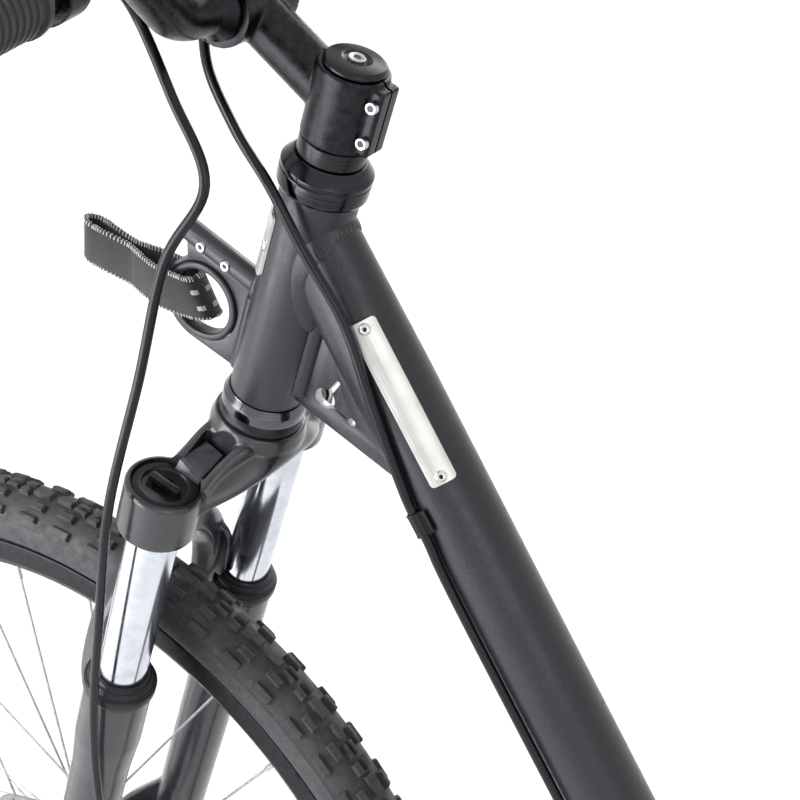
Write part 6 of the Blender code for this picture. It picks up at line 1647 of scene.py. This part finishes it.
def add_wheel(name, place, body, radius, bead, flange_half, hub_width, rotor_side, count):
    add_tyre(name, place, body, radius, bead, count)
    depth, half, lip = 0.019, 0.0135, 0.006
    rim = mirrored([
        (bead, half - 0.0016), (bead + lip - 0.0006, half - 0.0013), (bead + lip, half - 0.0006),
        (bead + lip - 0.0006, half), (bead - 0.1 * depth, half), (bead - 0.45 * depth, half),
        (bead - 0.80 * depth, 0.72 * half), (bead - depth, 0.35 * half),
    ])
    make(f"{name}_rim_band", lathe(rim, 240, True, 0.0005, 2), RIM_BLACK, body, f"{name}_rim", place, 30)
    bore, end, barrel, flange = 0.0048, hub_width / 2 - 0.0003, 0.014, 0.029
    half_hub = [
        (0.0125, flange_half - 0.012), (0.0140, flange_half - 0.007), (flange - 0.004, flange_half - 0.0019),
        (flange, flange_half - 0.00175), (flange, flange_half + 0.00175),
        (flange - 0.004, flange_half + 0.0021), (barrel + 0.001, flange_half + 0.0040),
        (barrel, flange_half + 0.006), (barrel, end - 0.001), (barrel - 0.0008, end),
        (bore + 0.0006, end), (bore, end - 0.0004),
    ]
    hub = [*((r, -s) for r, s in reversed(half_hub)), (0.0125, 0.0), *half_hub]
    make(f"{name}_hub_shell", lathe(hub, 96, True, 0.0005, 2), HUB_BLACK, body, f"{name}_hub", place)
    spokes, nipples = [], []
    rim_radius = bead - depth
    for k in range(SPOKES):
        side = 1 if k % 2 else -1
        lean = 1 if (k // 2) % 2 else -1
        rim_angle = TAU * (k + 0.5) / SPOKES
        hub_angle = rim_angle + lean * math.radians(56)
        start = Vector((*polar(0.026, hub_angle), side * (flange_half + lean * 0.0030)))
        finish = Vector((*polar(rim_radius - 0.0006, rim_angle), side * 0.003))
        out = Vector((0, 0, side * lean))
        spokes.append(rod([start, finish], 0.0009, 10))
        spokes.append(dome_rod(start, start - out * 0.0052, 0.0010, 10))
        spokes.append(dome_rod(start, start + out * 0.0007, 0.0017, 12))
        inward = (start - finish).normalized()
        nipples.append(dome_rod(finish - inward * 0.003, finish + inward * 0.011, 0.0019, 12))
    make(f"{name}_spokes", joined(*spokes), BARE_STEEL, body, place=place)
    make(f"{name}_nipples", joined(*nipples), SILVER, body, place=place)
    add_rotor(name, place, body, rotor_side)
    axis = Vector((*polar(1, TAU * 3 / SPOKES), 0))
    stem = dome_rod(axis * (rim_radius + 0.004), axis * (rim_radius - 0.030), 0.0042, 32, 0.4)
    make(f"{name}_valve", stem, BLACK_RUBBER, body, place=place)
    cap = dome_rod(axis * (rim_radius - 0.029), axis * (rim_radius - 0.040), 0.0040, 10, 0.2)
    make(f"{name}_valve_cap", cap, BLACK_PLASTIC, body, place=place)


def add_rotor(name, place, body, side):
    """A brake disc with swept arms, a drilled band and its six screws."""
    thick, outer, inner, hub = 0.0009, 0.080, 0.066, 0.026
    low, high = side - 0.01, side + 0.01
    angles = [TAU * k / 240 for k in range(240)]
    wave = [polar(outer - 0.0009 + 0.0009 * math.cos(12 * angle), angle) for angle in angles]
    shape = prism(wave, side - thick, side + thick)
    disc = make(f"{name}_disc", shape, ROTOR_STEEL, body, f"{name}_rotor", place)
    cuts = [prism(circle(0.0143, 64), low, high)]
    for k in range(5):
        outline = []
        for radius, swept, shares in ((inner, 0.0, range(17)), (hub, -0.35, range(16, -1, -1))):
            inset = 0.0045 / radius
            start = TAU * k / 5 + swept + inset
            outline += [polar(radius, start + (TAU / 5 - 2 * inset) * share / 16) for share in shares]
        cuts.append(prism(soften(outline, 0.002, 2), low, high))
    for k in range(30):
        for row, (radius, hole) in enumerate(((0.0695, 0.0016), (0.0725, 0.0019), (0.0757, 0.0016))):
            spot = polar(radius, TAU * (k + 0.33 * row) / 30)
            cuts.append(prism(circle(hole, 14, spot), low, high))
    boolean(disc, [joined(*cuts)], place)
    places = [place @ shift(*polar(0.0205, TAU * k / 6), side + thick - 0.0001) for k in range(6)]
    add_bolts(f"{name}_disc_bolt", places, body, 0.0032, 0.0020, 0.0014)


def add_axle(name, place, hub_width, dropout, body):
    """An axle rod with a washer and a nut outside each dropout."""
    inner = hub_width / 2 + dropout / 2 + 0.0003
    outer = inner + 0.010
    face = inner + 0.0014
    washer = [(0.0046, inner), (0.0095, inner), (0.0095, face), (0.0046, face)]
    top = outer - 0.0004
    nut = [(0.0046, face), (0.0092, face), (0.0092, outer - 0.0014), (0.0074, top), (0.0046, top)]
    nuts = []
    for side in (1, -1):
        for profile, steps in ((washer, 48), (nut, 6)):
            nuts.append(lathe([(r, side * s) for r, s in profile], steps))
    make(f"{name}_nuts", joined(*nuts), BARE_STEEL, body, place=place)
    profile = mirrored([(0.0045, outer - 0.0005), (0.0040, outer), (AXIS, outer)])
    make(f"{name}_rod", lathe(profile, 40, False), SILVER, body, name, place)


FRONT_CALIPER = frame_of((-0.9994, 0, 0.0349), (0.0349, 0, 0.9994), (0, 1, 0), (0.5537, 0.0345, 0.3307))
REAR_CALIPER = frame_of((0.4384, 0, 0.8988), (0.8988, 0, -0.4384), (0, 1, 0), (-0.6704, 0.0548, 0.3223))


def add_caliper(name, place, body):
    """A two piston caliper: body with cylinder caps, pads and bridge screws."""
    half = [(-0.0150, 0.0190), (-0.0110, 0.0230), (0.0080, 0.0230), (0.0150, 0.0150)]
    outline = soften([*((x, -y) for x, y in half), *reversed(half)], 0.004, 4)
    cup = lathe([(AXIS, 0.0), (0.0128, 0.0), (0.0128, 0.0118), (0.0116, 0.0124), (AXIS, 0.0124)], 56, False)
    shapes = [moved(prism_rounded(outline, -0.0112, 0.0112, 0.002), place)]
    for angle in (0, math.pi):
        shapes.append(moved(cup, place @ shift(-0.0020, 0, 0) @ Matrix.Rotation(angle, 4, "X")))
    caliper = casting(f"{name}_body", shapes, SATIN_BLACK, body, 0.0007, 3, name)
    window = moved(prism(rounded_rectangle(0.006, 0.0095, 0.002), -0.0045, 0.0045), shift(0.011, 0, 0))
    boolean(caliper, [slab(-0.03, 0.010, -0.05, 0.05, -0.0021, 0.0021), window], place, sharp=40)
    places = [place @ shift(0.0055, along, 0.0100) for along in (-0.0175, 0.0175)]
    add_bolts(f"{name}_bolt", places, body, 0.0030, 0.0022, 0.0014)
    pad = prism(rounded_rectangle(0.0105, 0.0090, 0.002), 0.0010, 0.0019)
    pads = joined(moved(pad, shift(-0.004, 0, 0)), moved(pad, shift(-0.004, 0, -0.0029)))
    make(f"{name}_pads", pads, BARE_STEEL, body, place=place)


def add_running_gear():
    add_wheel("front", FRONT_WHEEL, "front_wheel", 0.328, 0.2795, 0.020, 0.098, 0.0345, 70)
    add_wheel("rear", REAR_WHEEL, "rear_wheel", 0.254, 0.203, 0.030, 0.135, 0.0548, 54)
    add_axle("front_axle", FRONT_WHEEL, 0.106, 0.008, "lowers")
    add_axle("rear_axle", REAR_WHEEL, 2 * DROPOUT_SIDE, 0.006, "frame")
    add_caliper("front_caliper", FRONT_CALIPER, "lowers")
    add_caliper("rear_caliper", REAR_CALIPER, "frame")


# Studio
LAMPS = (  # name, place, aim, size, power
    ("key", (1.9, 1.9, 2.0), (0.4, 0, 0.7), 1.2, 40),
    ("low", (1.55, 1.75, 0.35), (0.4, 0, 0.75), 1.9, 48),
    ("fill", (-1.8, 1.6, 1.6), (0.3, 0, 0.7), 1.6, 8),
    ("back", (0.6, -2.2, 1.8), (0.3, 0, 0.7), 1.4, 26),
)


def seen_rays(tree, *kinds):
    """1 for rays of the given kinds."""
    path = tree.nodes.new("ShaderNodeLightPath")
    value = path.outputs[f"Is {kinds[0]} Ray"]
    for kind in kinds[1:]:
        value = add_node(tree, "Math", {0: value, 1: path.outputs[f"Is {kind} Ray"]}, operation="MAXIMUM")
    return value


def add_world():
    """A world that lights weakly and is seen as white."""
    world = bpy.data.worlds.new("studio")
    bpy.context.scene.world = world
    world.use_nodes = True
    tree = world.node_tree
    tree.nodes.clear()
    lit = add_node(tree, "Background", {"Color": (0.93, 0.95, 1.0, 1), "Strength": 0.25})
    white = add_node(tree, "Background", {"Color": (1, 1, 1, 1), "Strength": 1.0})
    either = seen_rays(tree, "Camera", "Glossy", "Transmission")
    add_node(tree, "OutputWorld", {"Surface": add_node(tree, "MixShader", {0: either, 1: lit, 2: white})})


def add_lamps():
    for name, place, aim, size, power in LAMPS:
        data = bpy.data.lights.new(name, "AREA")
        data.shape, data.size, data.energy = "DISK", size, power
        lamp = bpy.data.objects.new(name, data)
        bpy.context.scene.collection.objects.link(lamp)
        lamp.location = place
        lamp.rotation_mode = "QUATERNION"
        lamp.rotation_quaternion = (Vector(place) - Vector(aim)).to_track_quat("Z", "Y")


def add_floor():
    """A pale floor that glows white towards its far parts and keeps the shadow near the bike."""
    ground = bpy.data.meshes.new("floor")
    ground.from_pydata([(x, y, 0) for x, y in rectangle(-30, 30, -30, 30)], [], [(0, 1, 2, 3)])
    floor = bpy.data.objects.new("floor", ground)
    bpy.context.scene.collection.objects.link(floor)
    pale = Paint("floor_pale", (0.80, 0.80, 0.80), 0.9)
    pale.to("Base Color", pale.mix(pale.noise(3.0, 2), (0.80, 0.80, 0.80), (0.83, 0.83, 0.83)))
    reach = pale.node("VectorMath", {0: pale.place}, "Value", operation="LENGTH")
    level = pale.ramp(reach, 1.2, 4.5, 0.45, 1.0)
    pale.set("Emission Color", (1, 1, 1, 1))
    pale.to("Emission Strength", pale.share(seen_rays(pale.tree, "Camera", "Glossy"), level))
    ground.materials.append(pale.material)


add_hoses()
add_main_tubes()
add_gusset()
add_front_bracket()
add_webbing()
add_plates()
add_clip()
add_headset()
add_crown()
add_fork_tubes()
add_caps()
add_wipers()
add_lowers()
add_stem()
add_handlebar()
add_grips()
add_levers()
add_rails()
add_deck()
add_dropouts()
add_stand()
add_running_gear()
add_world()
add_lamps()
add_floor()
bpy.context.scene.view_settings.view_transform = "Standard"

bpy.context.view_layer.update()
